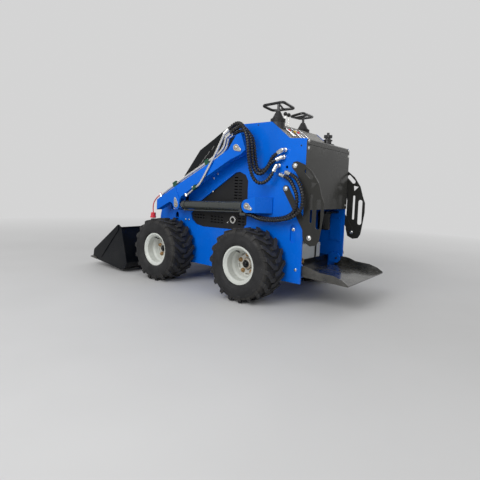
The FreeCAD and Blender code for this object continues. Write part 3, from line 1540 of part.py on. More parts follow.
def make_fittings():
    """A hexagon on the side plate, a stem, an elbow and a crimped sleeve in line with each hose."""
    plate = s.plate_out.value
    shapes = []
    for route in ARM_HOSES + LIFT_HOSES:
        end, way = end_of(route, back=True)
        elbow = end + way * CRIMP
        corners = [Vector(plate, elbow.y + 15 * math.cos(math.radians(60 * k)),
                          elbow.z + 15 * math.sin(math.radians(60 * k))) for k in range(7)]
        nut = Part.Face(Part.makePolygon(corners)).extrude(Vector(11, 0, 0))
        stem = sleeve(Vector(plate, elbow.y, elbow.z), elbow, 18)
        pieces = [nut, stem, Part.makeSphere(10, elbow), sleeve(end, elbow, s.crimp_wide.value)]
        shapes.append(fuse_all(pieces))
    keep_shape("hose_fittings", shapes)


def make_pipes():
    """Steel pipes with the crimped sleeve at the hose's end and the fitting at the far end."""
    shapes = []
    pipe = s.pipe_wide.value
    top_slope = Vector(0, -252, -131).normalize()
    top_face = Vector(0, top_slope.z, -top_slope.y)
    for number, (hose, route) in enumerate(zip(ARM_HOSES, ARM_PIPES)):
        end, way = end_of(hose)
        start = end + way * CRIMP
        shape, length = tube([tuple(start)] + route, pipe)
        pieces = [shape, sleeve(end + way * 0.1, start, s.crimp_wide.value), Part.makeSphere(pipe / 2, start)]
        x, y, z = route[-1]
        if number:
            seat = Vector(x, y, z) - top_face * 16
            pieces.append(Part.makeCylinder(11, 27, seat, top_face))
        else:
            low_face = Vector(0, 144, -238).normalize()
            seat = Vector(x, y, z) - low_face * 14.2
            pieces.append(Part.makeCylinder(11, 22, seat, low_face))
        shapes.append(fuse_all(pieces))
    keep_shape("arm_pipes", shapes)
    return PARTS[-1]


# Clamps on the arm: middle along and height on the arm's edge, slope of the edge, side to which the
# clamp stands, its place across and its width
CLAMPS = [
    (-390, 846.9, 26.1, 1, 373, 50),
    (-705, 691.2, 27.5, 1, 373, 50),
    (-504, 700.8, 31.2, -1, 402, 26),
]


def make_clamps(pipes):
    """Blocks that hold the pipes, each on the arm's edge and cut where the pipes pass."""
    shapes = []
    for along, height, slope, way, x, wide in CLAMPS:
        tall = 38 if way > 0 else 26
        low = 0 if way > 0 else -tall
        block_shape = Part.makeBox(wide, 34, tall, Vector(x - wide / 2, -17, low))
        if way > 0:
            block_shape = block_shape.fuse(Part.makeCylinder(6, 6, Vector(x, 0, tall)))
        block_shape.Placement = FreeCAD.Placement(Vector(0, along, height), FreeCAD.Rotation(Vector(1, 0, 0), slope))
        shapes.append(block_shape)
    pipe_shape = pipes.Shape.copy()
    pipe_shape.Placement = FreeCAD.Placement()
    keep_shape("pipe_clamps", [shape.cut(pipe_shape).Solids[0] for shape in shapes])


# Small levers on the console, as (across, along)
LEVERS = [(123, 44), (81, 44)]


def make_levers():
    items = []
    top = s.tower_top - 2 + s.seat_gap
    for x, y in LEVERS:
        knob = doc.addObject("Part::Sphere", "knob")
        bind(knob, "Radius", 13)
        place(knob, x, y, top + 80)
        items += [rod_up(15, 8, x, y, top), rod_up(10, 16, x, y, top), rod_up(4.5, 80, x, y, top), knob]
    keep(join(items, "levers"), "control_levers")


def make_cap():
    """Filler neck with a star knob on the rear cover's lid."""
    x = as_size(-75)
    y = as_size(262)
    base = s.deck_top - 2.9
    items = [rod_up(34, 5, x, y, base), rod_up(24, 30, x, y, base), rod_up(18, 62, x, y, base)]
    items.append(rod_up(30, 7, x, y, base + 28))
    items.append(rod_up(22, 18, x, y, base + 48))
    for along, across in round_spots(6, 23):
        items.append(rod_up(7, 18, x + across, y + along, base + 48))
    items.append(rod_up(9, 30, x, y, base + 52))
    keep(join(items, "cap"), "filler_cap")


make_hoses("arm_hose", ARM_HOSES)
make_hoses("lift_hose", LIFT_HOSES)
make_fittings()
make_clamps(make_pipes())
make_levers()
make_cap()

doc.recompute()

# Checks and files
os.makedirs("parts", exist_ok=True)
for item in doc.Objects:
    if "Invalid" in item.State or "Error" in item.State:
        raise RuntimeError(item.Name + " of " + item.Label + " is " + str(item.State))
for item in PARTS:
    shape = item.Shape
    if shape.isNull() or not shape.isValid():
        raise RuntimeError(item.Label + " has no valid shape")
    shape.exportStep("parts/%s.step" % item.Label)
    box = shape.BoundBox
    print("%-22s %2d solids  x %7.1f %7.1f  y %7.1f %7.1f  z %7.1f %7.1f" % (
        item.Label, len(shape.Solids), box.XMin, box.XMax, box.YMin, box.YMax, box.ZMin, box.ZMax))
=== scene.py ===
import json
import math

import bmesh
import bpy
from mathutils import Matrix, Quaternion, Vector


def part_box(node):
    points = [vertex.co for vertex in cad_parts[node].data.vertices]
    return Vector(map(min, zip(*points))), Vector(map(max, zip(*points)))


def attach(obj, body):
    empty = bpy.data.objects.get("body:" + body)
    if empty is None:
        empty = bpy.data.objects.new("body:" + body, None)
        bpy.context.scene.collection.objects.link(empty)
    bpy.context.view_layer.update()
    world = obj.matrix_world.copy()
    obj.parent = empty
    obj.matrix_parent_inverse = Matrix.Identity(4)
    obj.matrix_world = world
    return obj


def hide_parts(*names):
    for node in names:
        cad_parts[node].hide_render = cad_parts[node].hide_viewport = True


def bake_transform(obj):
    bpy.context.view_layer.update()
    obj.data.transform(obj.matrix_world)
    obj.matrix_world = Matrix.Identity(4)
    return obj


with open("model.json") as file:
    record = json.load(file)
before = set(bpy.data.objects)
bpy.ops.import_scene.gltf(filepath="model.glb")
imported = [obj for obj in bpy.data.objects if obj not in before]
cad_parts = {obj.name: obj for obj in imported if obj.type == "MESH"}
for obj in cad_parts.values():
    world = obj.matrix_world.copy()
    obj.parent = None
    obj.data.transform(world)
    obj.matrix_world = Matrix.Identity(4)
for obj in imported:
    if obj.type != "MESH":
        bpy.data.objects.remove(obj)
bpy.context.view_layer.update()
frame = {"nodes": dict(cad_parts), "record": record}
NODES = frame["nodes"]
MM = 0.001
SIDES = [("left", 1), ("right", -1)]
LEFT = Vector((1, 0, 0))
BACK = Vector((0, 1, 0))
UP = Vector((0, 0, 1))


def axle_of(tyre):
    """Where a tyre's axle lies along the machine and above the ground, in metres."""
    low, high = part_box(tyre)
    return (low.y + high.y) / 2, (low.z + high.z) / 2


# The axles' places, from which everything here is set out
REAR_AXLE, AXLE_HEIGHT = axle_of("tyre_rear_left")
FRONT_AXLE = axle_of("tyre_front_left")[0]


def at(x, y, z):
    """A point given in millimetres across, behind the rear axle and above the ground."""
    return Vector((x * MM, REAR_AXLE + y * MM, z * MM))


# Camera: its place in metres, its turns in degrees, its focal length and the middle of the view in pixels,
# its sensor in millimetres, and the nearest and farthest that it sees in metres
FRAME_PIXELS = 480
CAMERA_AT = (2.335, REAR_AXLE + 1.461, 0.683)
CAMERA_YAW = 38.62
CAMERA_PITCH = -3.48
CAMERA_ROLL = 2.33
FOCAL_PIXELS = 389.57
CENTRE_PIXELS = (240, 214)
SENSOR_WIDTH = 36.0
NEAR_CLIP = 0.05
FAR_CLIP = 100


def make_camera():
    data = bpy.data.cameras.new("camera")
    camera = bpy.data.objects.new("camera", data)
    bpy.context.scene.collection.objects.link(camera)
    yaw, pitch, roll = (math.radians(a) for a in (CAMERA_YAW, CAMERA_PITCH, CAMERA_ROLL))
    ahead = Vector((-math.cos(yaw) * math.cos(pitch), -math.sin(yaw) * math.cos(pitch), math.sin(pitch)))
    right = ahead.cross(UP).normalized()
    up = right.cross(ahead)
    right, up = (right * math.cos(roll) + up * math.sin(roll), up * math.cos(roll) - right * math.sin(roll))
    turn = Matrix((right, up, -ahead)).transposed()
    camera.matrix_world = Matrix.Translation(CAMERA_AT) @ turn.to_4x4()
    data.sensor_width = SENSOR_WIDTH
    data.lens = FOCAL_PIXELS / FRAME_PIXELS * SENSOR_WIDTH
    data.shift_x = (FRAME_PIXELS / 2 - CENTRE_PIXELS[0]) / FRAME_PIXELS
    data.shift_y = (CENTRE_PIXELS[1] - FRAME_PIXELS / 2) / FRAME_PIXELS
    data.clip_start = NEAR_CLIP
    data.clip_end = FAR_CLIP
    bpy.context.scene.camera = camera


make_camera()

# Materials. Several sockets of a Mix node share a name, so those for colours go by number.
MIX_SHARE, MIX_FIRST, MIX_SECOND, MIX_RESULT = 0, 6, 7, 2
BEVEL_SAMPLES = 4
COAT_ROUGHNESS = 0.08


class Nodes:
    """The nodes of one material, with its Principled shader and short calls that add to it."""

    def __init__(self, name, colour, roughness, metallic=0.0, coat=0.0):
        self.name = name
        self.material = bpy.data.materials.new(name)
        self.material.use_nodes = True
        self.tree = self.material.node_tree
        self.shader = self.tree.nodes["Principled BSDF"]
        self.set("Base Color", (*colour, 1))
        self.set("Roughness", roughness)
        self.set("Metallic", metallic)
        self.set("Coat Weight", coat)
        self.set("Coat Roughness", COAT_ROUGHNESS)
        self.place = self.tree.nodes.new("ShaderNodeTexCoord").outputs["Object"]
        self.normal = None

    def set(self, socket, value):
        self.shader.inputs[socket].default_value = value

    def link(self, output, socket):
        self.tree.links.new(output, socket)

    def feed(self, values, sockets):
        """Each value goes to its socket: an output by a link, a number or a colour as it is."""
        for value, socket in zip(values, sockets):
            if isinstance(value, bpy.types.NodeSocket):
                self.link(value, socket)
            elif isinstance(value, tuple):
                socket.default_value = (*value, 1)
            else:
                socket.default_value = value

    def noise(self, pattern, stretch=None):
        """Noise by its cycles in a metre, octaves and roughness; stretch scales it along each axis."""
        place = self.place
        if stretch:
            mapping = self.tree.nodes.new("ShaderNodeMapping")
            mapping.inputs["Scale"].default_value = stretch
            self.link(place, mapping.inputs["Vector"])
            place = mapping.outputs["Vector"]
        node = self.tree.nodes.new("ShaderNodeTexNoise")
        for socket, value in zip(("Scale", "Detail", "Roughness"), pattern):
            node.inputs[socket].default_value = value
        self.link(place, node.inputs["Vector"])
        return node.outputs["Fac"]

    def ramp(self, value, stops):
        """A colour ramp from (place, colour or grey) stops."""
        node = self.tree.nodes.new("ShaderNodeValToRGB")
        for mark, (spot, tone) in zip(node.color_ramp.elements, stops):
            mark.position = spot
            mark.color = (*tone, 1) if isinstance(tone, tuple) else (*grey(tone), 1)
        self.link(value, node.inputs["Fac"])
        return node.outputs["Color"]

    def mix(self, share, first, second):
        """Colour first where share is 0 and second where it is 1; either may be a plain colour."""
        node = self.tree.nodes.new("ShaderNodeMix")
        node.data_type = "RGBA"
        self.feed((share, first, second), [node.inputs[k] for k in (MIX_SHARE, MIX_FIRST, MIX_SECOND)])
        return node.outputs[MIX_RESULT]

    def math(self, kind, first, second=0.0, clamp=False):
        node = self.tree.nodes.new("ShaderNodeMath")
        node.operation = kind
        node.use_clamp = clamp
        self.feed((first, second), node.inputs)
        return node.outputs[0]

    def bevel(self, radius):
        node = self.tree.nodes.new("ShaderNodeBevel")
        node.samples = BEVEL_SAMPLES
        node.inputs["Radius"].default_value = radius
        return node.outputs["Normal"]

    def edges(self, radius, gain=9.0):
        """1 along outer edges and 0 on flat faces."""
        geometry = self.tree.nodes.new("ShaderNodeNewGeometry")
        dot = self.tree.nodes.new("ShaderNodeVectorMath")
        dot.operation = "DOT_PRODUCT"
        self.link(self.bevel(radius), dot.inputs[0])
        self.link(geometry.outputs["Normal"], dot.inputs[1])
        away = self.math("SUBTRACT", 1.0, dot.outputs["Value"])
        return self.math("MULTIPLY", away, gain, clamp=True)

    def axes(self):
        node = self.tree.nodes.new("ShaderNodeSeparateXYZ")
        self.link(self.place, node.inputs["Vector"])
        return [node.outputs[axis] for axis in "XYZ"]

    def round_edges(self, radius=0.0015):
        self.normal = self.bevel(radius)
        self.link(self.normal, self.shader.inputs["Normal"])

    def bump(self, value, strength, distance=0.001):
        node = self.tree.nodes.new("ShaderNodeBump")
        node.inputs["Strength"].default_value = strength
        node.inputs["Distance"].default_value = distance
        self.link(value, node.inputs["Height"])
        if self.normal:
            self.link(self.normal, node.inputs["Normal"])
        self.normal = node.outputs["Normal"]
        self.link(self.normal, self.shader.inputs["Normal"])

    def wheel_radius(self):
        """Distance from the nearest wheel's axis, the same rule for all four wheels."""
        along, up = self.axes()[1:]
        middle = (REAR_AXLE + FRONT_AXLE) / 2
        span = abs(REAR_AXLE - FRONT_AXLE) / 2
        off = self.math("SUBTRACT", self.math("ABSOLUTE", self.math("SUBTRACT", along, middle)), span)
        rise = self.math("SUBTRACT", up, AXLE_HEIGHT)
        square = self.math("ADD", self.math("MULTIPLY", off, off), self.math("MULTIPLY", rise, rise))
        return self.math("SQRT", square)

    def band(self, value, low, high, soft=0.002):
        """1 where value lies between low and high, with soft ends."""
        rise = self.math("MULTIPLY", self.math("SUBTRACT", value, low), 1 / soft, clamp=True)
        fall = self.math("MULTIPLY", self.math("SUBTRACT", high, value), 1 / soft, clamp=True)
        return self.math("MULTIPLY", rise, fall)

    def base(self, colour):
        self.link(colour, self.shader.inputs["Base Color"])

    def lay_over(self, share, colour):
        """Covers the colour so far with a plain one where share is 1."""
        so_far = self.shader.inputs["Base Color"].links[0].from_socket
        self.base(self.mix(share, so_far, colour))

    def rough(self, value):
        self.link(value, self.shader.inputs["Roughness"])


def grey(tone):
    return (tone, tone, tone)


def scaled(colour, factor):
    """A colour made darker or lighter, never brighter than white."""
    return tuple(min(c * factor, 1) for c in colour)


# Noise patterns: cycles in a metre, octaves and roughness
CLOUDS = (3.0, 3.0, 0.5)
CHIPS = (60.0, 6.0, 0.65)
DIRT = (9.0, 6.0, 0.6)
STREAKS = (7.0, 5.0, 0.5)
ORANGE_PEEL = (420.0, 2.0, 0.5)
SCRATCHES = (90.0, 5.0, 0.6)
STAINS = (26.0, 6.0, 0.7)
MOTTLE = (18.0, 5.0, 0.5)
DUST_FILM = (7.0, 6.0, 0.65)
RUBBED = (30.0, 4.0, 0.5)
GRAIN = (260.0, 3.0, 0.5)
TYRE_MOTTLE = (14.0, 5.0, 0.5)
TYRE_DUST = (11.0, 6.0, 0.65)
TYRE_GRAIN = (230.0, 3.0, 0.5)
LUG_WEAR = (40.0, 5.0, 0.5)
RUST = (32.0, 6.0, 0.65)
SCUFFS = (34.0, 7.0, 0.7)
FLOOR_CLOUDS = (1.3, 4.0, 0.5)

DUST = (0.20, 0.185, 0.16)
# Height in metres below which dust gathers, and how far scratches change a metal's roughness
DUST_HEIGHT = 0.5
SCRATCH = 0.35


def paint(name, colour, worn, roughness, coat, wear=0.5, dust=0.25, vary=0.08, film=0.0, shine=0.5):
    """Gloss or satin paint with a slight orange peel, worn edges, dust low down and a thin film of it."""
    n = Nodes(name, colour, roughness, 0.0, coat)
    n.set("Specular IOR Level", shine)
    n.round_edges()
    tone = n.ramp(n.noise(CLOUDS), [(0.3, scaled(colour, 1 - vary)), (0.7, scaled(colour, 1 + vary))])
    chips = n.math("MULTIPLY", n.edges(0.003), n.ramp(n.noise(CHIPS), [(0.5, 0.0), (0.66, 1.0)]))
    tone = n.mix(n.math("MULTIPLY", chips, wear), tone, worn)
    low = n.ramp(n.axes()[2], [(0.0, 1.0), (DUST_HEIGHT, film)])
    dirt = n.math("MULTIPLY", low, n.ramp(n.noise(DIRT), [(0.35, 0.0), (0.75, 1.0)]))
    dirt = n.math("MULTIPLY", dirt, dust)
    n.base(n.mix(dirt, tone, DUST))
    streaks = n.ramp(n.noise(STREAKS), [(0.3, roughness * 0.8), (0.7, roughness * 1.3)])
    n.rough(n.math("ADD", streaks, n.math("MULTIPLY", dirt, 0.6)))
    n.bump(n.noise(ORANGE_PEEL), 0.03)
    return n


def metal(name, colour, roughness, stretch=(1, 12, 12), spots=None):
    """Bare or plated metal with fine scratches and, if given, stains of another colour."""
    n = Nodes(name, colour, roughness, 1.0)
    n.round_edges(0.001)
    lines = n.noise(SCRATCHES, stretch)
    tone = n.ramp(lines, [(0.3, scaled(colour, 0.82)), (0.7, scaled(colour, 1.1))])
    if spots:
        stain = n.ramp(n.noise(STAINS), [(0.5, 0.0), (0.66, 1.0)])
        tone = n.mix(stain, tone, spots)
        n.link(n.math("SUBTRACT", 1.0, n.math("MULTIPLY", stain, 0.8)), n.shader.inputs["Metallic"])
    n.base(tone)
    n.rough(n.ramp(lines, [(0.3, roughness * (1 - SCRATCH)), (0.75, roughness * (1 + SCRATCH))]))
    n.bump(lines, 0.05)
    return n


def rubber(name, colour, roughness, dust, grain=0.12):
    """Rubber or soft plastic, mottled, with a film of dust and rubbed edges."""
    n = Nodes(name, colour, roughness)
    tone = n.ramp(n.noise(MOTTLE), [(0.3, scaled(colour, 0.8)), (0.75, scaled(colour, 1.3))])
    film = n.math("MULTIPLY", n.ramp(n.noise(DUST_FILM), [(0.45, 0.0), (0.8, 1.0)]), dust)
    rubbed = n.math("MULTIPLY", n.edges(0.005), dust * 0.8)
    n.base(n.mix(n.math("MAXIMUM", film, rubbed), tone, DUST))
    n.rough(n.ramp(n.noise(RUBBED), [(0.3, roughness * 0.85), (0.7, roughness * 1.2)]))
    n.bump(n.noise(GRAIN), grain)
    return n


# Radii on a wheel in metres: the dusty grooves, the tops of the lugs, the sidewall's rings and the nuts' zone
GROOVES = (0.195, 0.216)
LUG_TOP = 0.2215
SIDEWALL = (0.128, 0.176)
RING_PITCH = 0.004
NUT_ZONE = 0.082
# The tyre's colours
TYRE_DARK = (0.011, 0.011, 0.012)
TYRE_LIGHT = (0.024, 0.024, 0.025)
GROOVE_DUST = (0.07, 0.064, 0.055)
LUG_GREY = (0.07, 0.069, 0.067)
EDGE_GREY = (0.10, 0.098, 0.095)


def tyre_rubber():
    """Dark sidewall with fine rings, dusty bottoms between the lugs and lug tops rubbed lighter."""
    n = Nodes("tyre", TYRE_LIGHT, 0.62)
    n.set("Specular IOR Level", 0.3)
    n.round_edges(0.003)
    radius = n.wheel_radius()
    tone = n.ramp(n.noise(TYRE_MOTTLE), [(0.3, TYRE_DARK), (0.75, TYRE_LIGHT)])
    cloud = n.ramp(n.noise(TYRE_DUST), [(0.35, 0.0), (0.7, 1.0)])
    groove = n.math("MULTIPLY", n.band(radius, *GROOVES, 0.006), cloud)
    tone = n.mix(n.math("MULTIPLY", groove, 0.35), tone, GROOVE_DUST)
    patches = n.ramp(n.noise(LUG_WEAR), [(0.3, 0.2), (0.7, 0.9)])
    top = n.math("MULTIPLY", n.band(radius, LUG_TOP, 1.0), patches)
    tone = n.mix(n.math("MULTIPLY", top, 0.5), tone, LUG_GREY)
    rubbed = n.math("MULTIPLY", n.edges(0.006, 6.0), 0.25)
    n.base(n.mix(rubbed, tone, EDGE_GREY))
    n.rough(n.ramp(n.noise(RUBBED), [(0.3, 0.5), (0.7, 0.78)]))
    rings = n.math("SINE", n.math("MULTIPLY", radius, 2 * math.pi / RING_PITCH))
    rings = n.math("MULTIPLY", rings, n.band(radius, *SIDEWALL, 0.003))
    n.bump(rings, 0.25, 0.0006)
    n.bump(n.noise(TYRE_GRAIN), 0.12)
    return n


# Colours on a wheel: where the paint is chipped, its darker middle and its rust
WHEEL_CHIP = (0.22, 0.14, 0.08)
WHEEL_MIDDLE_DARK = (0.30, 0.28, 0.24)
WHEEL_RUST = (0.20, 0.105, 0.045)


def wheel_paint(name, colour, stain):
    """Cream wheel paint, darker towards the middle and rust-stained towards the nuts, chipped at the lip."""
    n = paint(name, colour, WHEEL_CHIP, 0.4, 0.12, wear=0.7, dust=0.4, vary=0.05)
    radius = n.wheel_radius()
    inner = n.math("SUBTRACT", 1.0, n.math("MULTIPLY", radius, 1 / NUT_ZONE, clamp=True))
    patch = n.ramp(n.noise(RUST), [(0.42, 0.0), (0.66, 1.0)])
    share = n.math("MULTIPLY", patch, n.band(radius, 0.0, NUT_ZONE, 0.02))
    # The paint turns darker towards the wheel's middle, half way to this colour at the axis.
    n.lay_over(n.math("MULTIPLY", inner, 0.5), WHEEL_MIDDLE_DARK)
    n.lay_over(n.math("MULTIPLY", share, stain, clamp=True), WHEEL_RUST)
    return n


GRILLE_PITCH = 0.0095


def grille_sheet():
    """Dark sheet with a fine dotted grid."""
    n = paint("dark_sheet", (0.012, 0.012, 0.013), grey(0.12), 0.5, 0.0, dust=0.12, shine=0.3)
    along, up = n.axes()[1:]
    waves = [n.math("SINE", n.math("MULTIPLY", axis, 2 * math.pi / GRILLE_PITCH)) for axis in (along, up)]
    dots = n.math("GREATER_THAN", n.math("MULTIPLY", waves[0], waves[1]), 0.55)
    n.lay_over(n.math("MULTIPLY", dots, 0.8), grey(0.003))
    n.bump(dots, -0.4, 0.002)
    return n


def tread_sheet():
    """Glossy black platform sheet, scuffed where boots stand on it."""
    roughness = 0.24
    n = paint("platform_sheet", (0.012, 0.013, 0.012), grey(0.10), roughness, 0.5, wear=0.6, dust=0.5)
    scuffs = n.ramp(n.noise(SCUFFS, stretch=(1, 0.35, 1)), [(0.5, 0.0), (0.72, 1.0)])
    n.lay_over(n.math("MULTIPLY", scuffs, 0.35), (0.10, 0.10, 0.09))
    n.rough(n.math("ADD", roughness, n.math("MULTIPLY", scuffs, 0.3)))
    return n


# The look of each material slot. A paint's values are its colour, its colour where worn, roughness and coat.
SLOTS = [
    paint("blue_paint", (0.0, 0.125, 0.64), (0.02, 0.045, 0.12), 0.24, 0.12, film=0.1, dust=0.04, shine=0.16),
    paint("black_paint", (0.005, 0.006, 0.007), grey(0.1), 0.22, 0.12, film=0.05, dust=0.06, shine=0.2),
    paint("cover_grey", (0.046, 0.046, 0.043), grey(0.2), 0.24, 0.15, film=0.3, dust=0.06, shine=0.25),
    paint("grey_plate", (0.022, 0.022, 0.020), grey(0.16), 0.36, 0.04, film=0.2, dust=0.08, shine=0.25),
    grille_sheet(),
    paint("console_grey", (0.25, 0.245, 0.23), grey(0.2), 0.42, 0.05, film=0.5, shine=0.3),
    tyre_rubber(),
    wheel_paint("rim_paint", (0.61, 0.635, 0.60), 0.35),
    wheel_paint("hub_metal", (0.50, 0.49, 0.43), 0.9),
    paint("axle_metal", grey(0.02), (0.1, 0.08, 0.06), 0.5, 0.0, dust=0.6),
    paint("engine_metal", grey(0.05), grey(0.15), 0.5, 0.0, film=0.6, dust=0.5),
    paint("cylinder_paint", (0.032, 0.037, 0.035), grey(0.22), 0.28, 0.4, film=0.2),
    metal("chrome_rod", (0.75, 0.76, 0.78), 0.12),
    metal("pin_steel", (0.80, 0.80, 0.77), 0.24),
    paint("bucket_paint", (0.003, 0.004, 0.006), grey(0.1), 0.3, 0.06, wear=0.8, dust=0.05, shine=0.14),
    paint("edge_steel", grey(0.016), (0.3, 0.28, 0.26), 0.4, 0.2, wear=1.0, dust=0.6),
    paint("battery_case", (0.43, 0.46, 0.48), grey(0.3), 0.42, 0.1, film=0.5, dust=0.3),
    rubber("boot_rubber", (0.016, 0.016, 0.018), 0.5, dust=0.15),
    paint("black_bar", (0.008, 0.008, 0.009), grey(0.1), 0.25, 0.4),
    rubber("hose_rubber", (0.009, 0.009, 0.010), 0.27, dust=0.06, grain=0.03),
    metal("pipe_steel", (0.90, 0.90, 0.88), 0.2, stretch=(8, 2, 2)),
    paint("clamp_paint", (0.006, 0.065, 0.032), grey(0.15), 0.35, 0.2),
    paint("cap_plastic", (0.012, 0.012, 0.013), grey(0.1), 0.35, 0.1),
]
MATERIALS = {n.name: n.material for n in SLOTS}
SHEET = tread_sheet().material
RUSTY_NUT = metal("rusty_nut", (0.42, 0.27, 0.13), 0.4, spots=(0.17, 0.075, 0.03)).material
BRASS = metal("brass", (0.72, 0.47, 0.20), 0.3).material
RED_PLASTIC = rubber("red_plastic", (0.62, 0.03, 0.05), 0.35, dust=0.1, grain=0.03).material
YELLOW_PLASTIC = rubber("yellow_plastic", (0.70, 0.45, 0.02), 0.35, dust=0.1, grain=0.03).material
DARK_HOLE = rubber("dark_hole", grey(0.006), 0.8, dust=0.1).material

for row in frame["record"]["subparts"]:
    part = NODES[row["node"]]
    part.data.materials.clear()
    part.data.materials.append(MATERIALS[row["material_slot"]])
NODES["platform"].data.materials[0] = SHEET

# Shapes. An edge that turns by more than this stays sharp.
SHARP = math.radians(32)


class Shape:
    """Closed forms gathered in one mesh. Spots and points are in metres and sizes in millimetres."""

    def __init__(self):
        self.mesh = bmesh.new()

    def skin(self, rings, closed=False):
        """Faces from each ring of points to the next, with a cap on either end unless it is closed."""
        following = rings[1:] + rings[:1] if closed else rings[1:]
        for low, high in zip(rings, following):
            for k in range(len(low)):
                after = (k + 1) % len(low)
                self.mesh.faces.new((low[k], low[after], high[after], high[k]))
        if not closed:
            self.mesh.faces.new(list(reversed(rings[0])))
            self.mesh.faces.new(rings[-1])

    def ring(self, middle, side, up, radii):
        """Points evenly turned round the middle, each as far out in metres as radii says."""
        ring = []
        for k, radius in enumerate(radii):
            turn = 2 * math.pi * k / len(radii)
            ring.append(self.mesh.verts.new(middle + (side * math.cos(turn) + up * math.sin(turn)) * radius))
        return ring

    def lathe(self, spot, way, outline, sides=20, roll=0.0):
        """A turned form from (height, radius) pairs along its axis."""
        turned = Vector(way).to_track_quat("Z", "Y") @ Quaternion(UP, roll)
        place = Matrix.Translation(spot) @ turned.to_matrix().to_4x4()
        rings = []
        for height, radius in outline:
            ring = []
            for k in range(sides):
                turn = 2 * math.pi * k / sides
                local = Vector((radius * math.cos(turn), radius * math.sin(turn), height)) * MM
                ring.append(self.mesh.verts.new(place @ local))
            rings.append(ring)
        self.skin(rings)

    def slab(self, place, outline, low, high):
        """A flat form: an outline of (u, v) points, from height low to high."""
        rings = []
        for height in (low, high):
            rings.append([self.mesh.verts.new(place @ (Vector((u, v, height)) * MM)) for u, v in outline])
        self.skin(rings)

    def tube(self, points, radius, sides=12, swell=None):
        """A round bar along points; swell gives its radius in metres from the distance and the turn."""
        rings = []
        way = (points[1] - points[0]).normalized()
        side = way.orthogonal().normalized()
        run = 0.0
        for k, point in enumerate(points):
            ahead = (points[min(k + 1, len(points) - 1)] - points[max(k - 1, 0)]).normalized()
            side = (way.rotation_difference(ahead) @ side).normalized()
            way = ahead
            run += (point - points[k - 1]).length if k else 0.0
            radii = [radius * MM] * sides
            if swell:
                radii = [swell(run, 2 * math.pi * j / sides) for j in range(sides)]
            rings.append(self.ring(point, side, way.cross(side), radii))
        self.skin(rings)

    def bar(self, start, end, radius, sides=12):
        """A straight round bar."""
        self.tube([start, start.lerp(end, 0.5), end], radius, sides)

    def loop(self, corners, radius, bend=24, sides=12, steps=6):
        """A closed, nearly level round bar that turns each corner on an arc which starts bend before it."""
        points = []
        for before, corner, after in zip(corners[-1:] + corners[:-1], corners, corners[1:] + corners[:1]):
            start = corner + (before - corner).normalized() * bend * MM
            end = corner + (after - corner).normalized() * bend * MM
            for k in range(steps + 1):
                share = k / steps
                points.append(start.lerp(corner, share).lerp(corner.lerp(end, share), share))
        rings = []
        for k, point in enumerate(points):
            way = (points[(k + 1) % len(points)] - points[k - 1]).normalized()
            side = way.cross(UP).normalized()
            rings.append(self.ring(point, side, side.cross(way), [radius * MM] * sides))
        self.skin(rings, closed=True)

    def bolt(self, spot, way, thread, roll=0.3):
        """Hexagon head on its washer, both set by the thread."""
        washer = [(-1, thread * 1.15), (thread * 0.16, thread * 1.15), (thread * 0.2, thread * 1.08)]
        head = [(0, thread * 0.9), (thread * 0.62, thread * 0.9), (thread * 0.78, thread * 0.74)]
        self.lathe(spot, way, washer)
        self.lathe(spot, way, head, sides=6, roll=roll)

    def button(self, spot, way, radius):
        """Round-headed bolt with a hollow for its key."""
        dome = [(-1, radius * 1.3), (1.4, radius * 1.3), (1.6, radius), (radius * 0.28, radius * 0.96),
                (radius * 0.48, radius * 0.72), (radius * 0.56, radius * 0.42), (radius * 0.3, radius * 0.36)]
        self.lathe(spot, way, dome, sides=24)

    def done(self, name, body, slot, material=None):
        """The mesh as a piece that rides on a body, in its slot's look unless a material is given."""
        bmesh.ops.recalc_face_normals(self.mesh, faces=self.mesh.faces)
        for face in self.mesh.faces:
            face.smooth = True
        for edge in self.mesh.edges:
            edge.smooth = len(edge.link_faces) == 2 and edge.calc_face_angle(0) < SHARP
        data = bpy.data.meshes.new(name)
        self.mesh.to_mesh(data)
        self.mesh.free()
        piece = bpy.data.objects.new(name, data)
        bpy.context.scene.collection.objects.link(piece)
        data.materials.append(material or MATERIALS[slot])
        if body:
            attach(piece, body)
        return piece


def lay(spot, u, v, w):
    """A slab's place: the spot that its outline is measured from, the outline's two ways and its normal."""
    return Matrix.Translation(spot) @ Matrix((u, v, w)).transposed().to_4x4()


def rectangle(half_u, half_v):
    return [(-half_u, -half_v), (half_u, -half_v), (half_u, half_v), (-half_u, half_v)]


# Hoses: each route's points in millimetres across, behind the rear axle and above the ground
ARM_ROUTES = [
    [(345, 118, 806), (356, 104, 768), (370, 72, 734), (384, 28, 733), (396, -1, 770), (407, -17, 830),
     (413, -28, 915), (414, -35, 992), (410, -60, 1058), (400, -100, 1101), (391, -144, 1114),
     (393, -180, 1100), (401, -206, 1074)],
    [(334, 128, 878), (345, 94, 862), (352, 70, 816), (360, 36, 788), (370, 4, 796), (378, -13, 838),
     (383, -22, 905), (384, -28, 985), (382, -48, 1041), (377, -84, 1073), (374, -118, 1090),
     (376, -150, 1087), (381, -178, 1070), (385, -204, 1050)],
    [(332, 136, 921), (329, 98, 903), (326, 72, 852), (330, 44, 818), (337, 12, 807), (345, -9, 832),
     (352, -17, 882), (357, -23, 950), (358, -36, 1008), (359, -64, 1044), (360, -98, 1063),
     (359, -131, 1067), (358, -164, 1062), (358, -198, 1047)],
]
LIFT_ROUTES = [
    [(329, 192, 776), (337, 230, 765), (345, 264, 722), (350, 290, 678), (351, 299, 632), (349, 290, 588),
     (345, 260, 553), (341, 214, 530), (338, 150, 518), (339, 80, 514), (344, 22, 520),
     (354.5, -19.9, 533.5), (354.5, -50.75, 532.24)],
    [(329, 232, 790), (337, 270, 777), (344, 306, 732), (350, 330, 684), (351, 338, 636), (350, 328, 589),
     (354, 300, 555), (361, 252, 528), (365, 190, 514), (366, 115, 506), (368, 40, 508),
     (379.5, -15.9, 533.6), (379.5, -50.75, 532.24)],
]
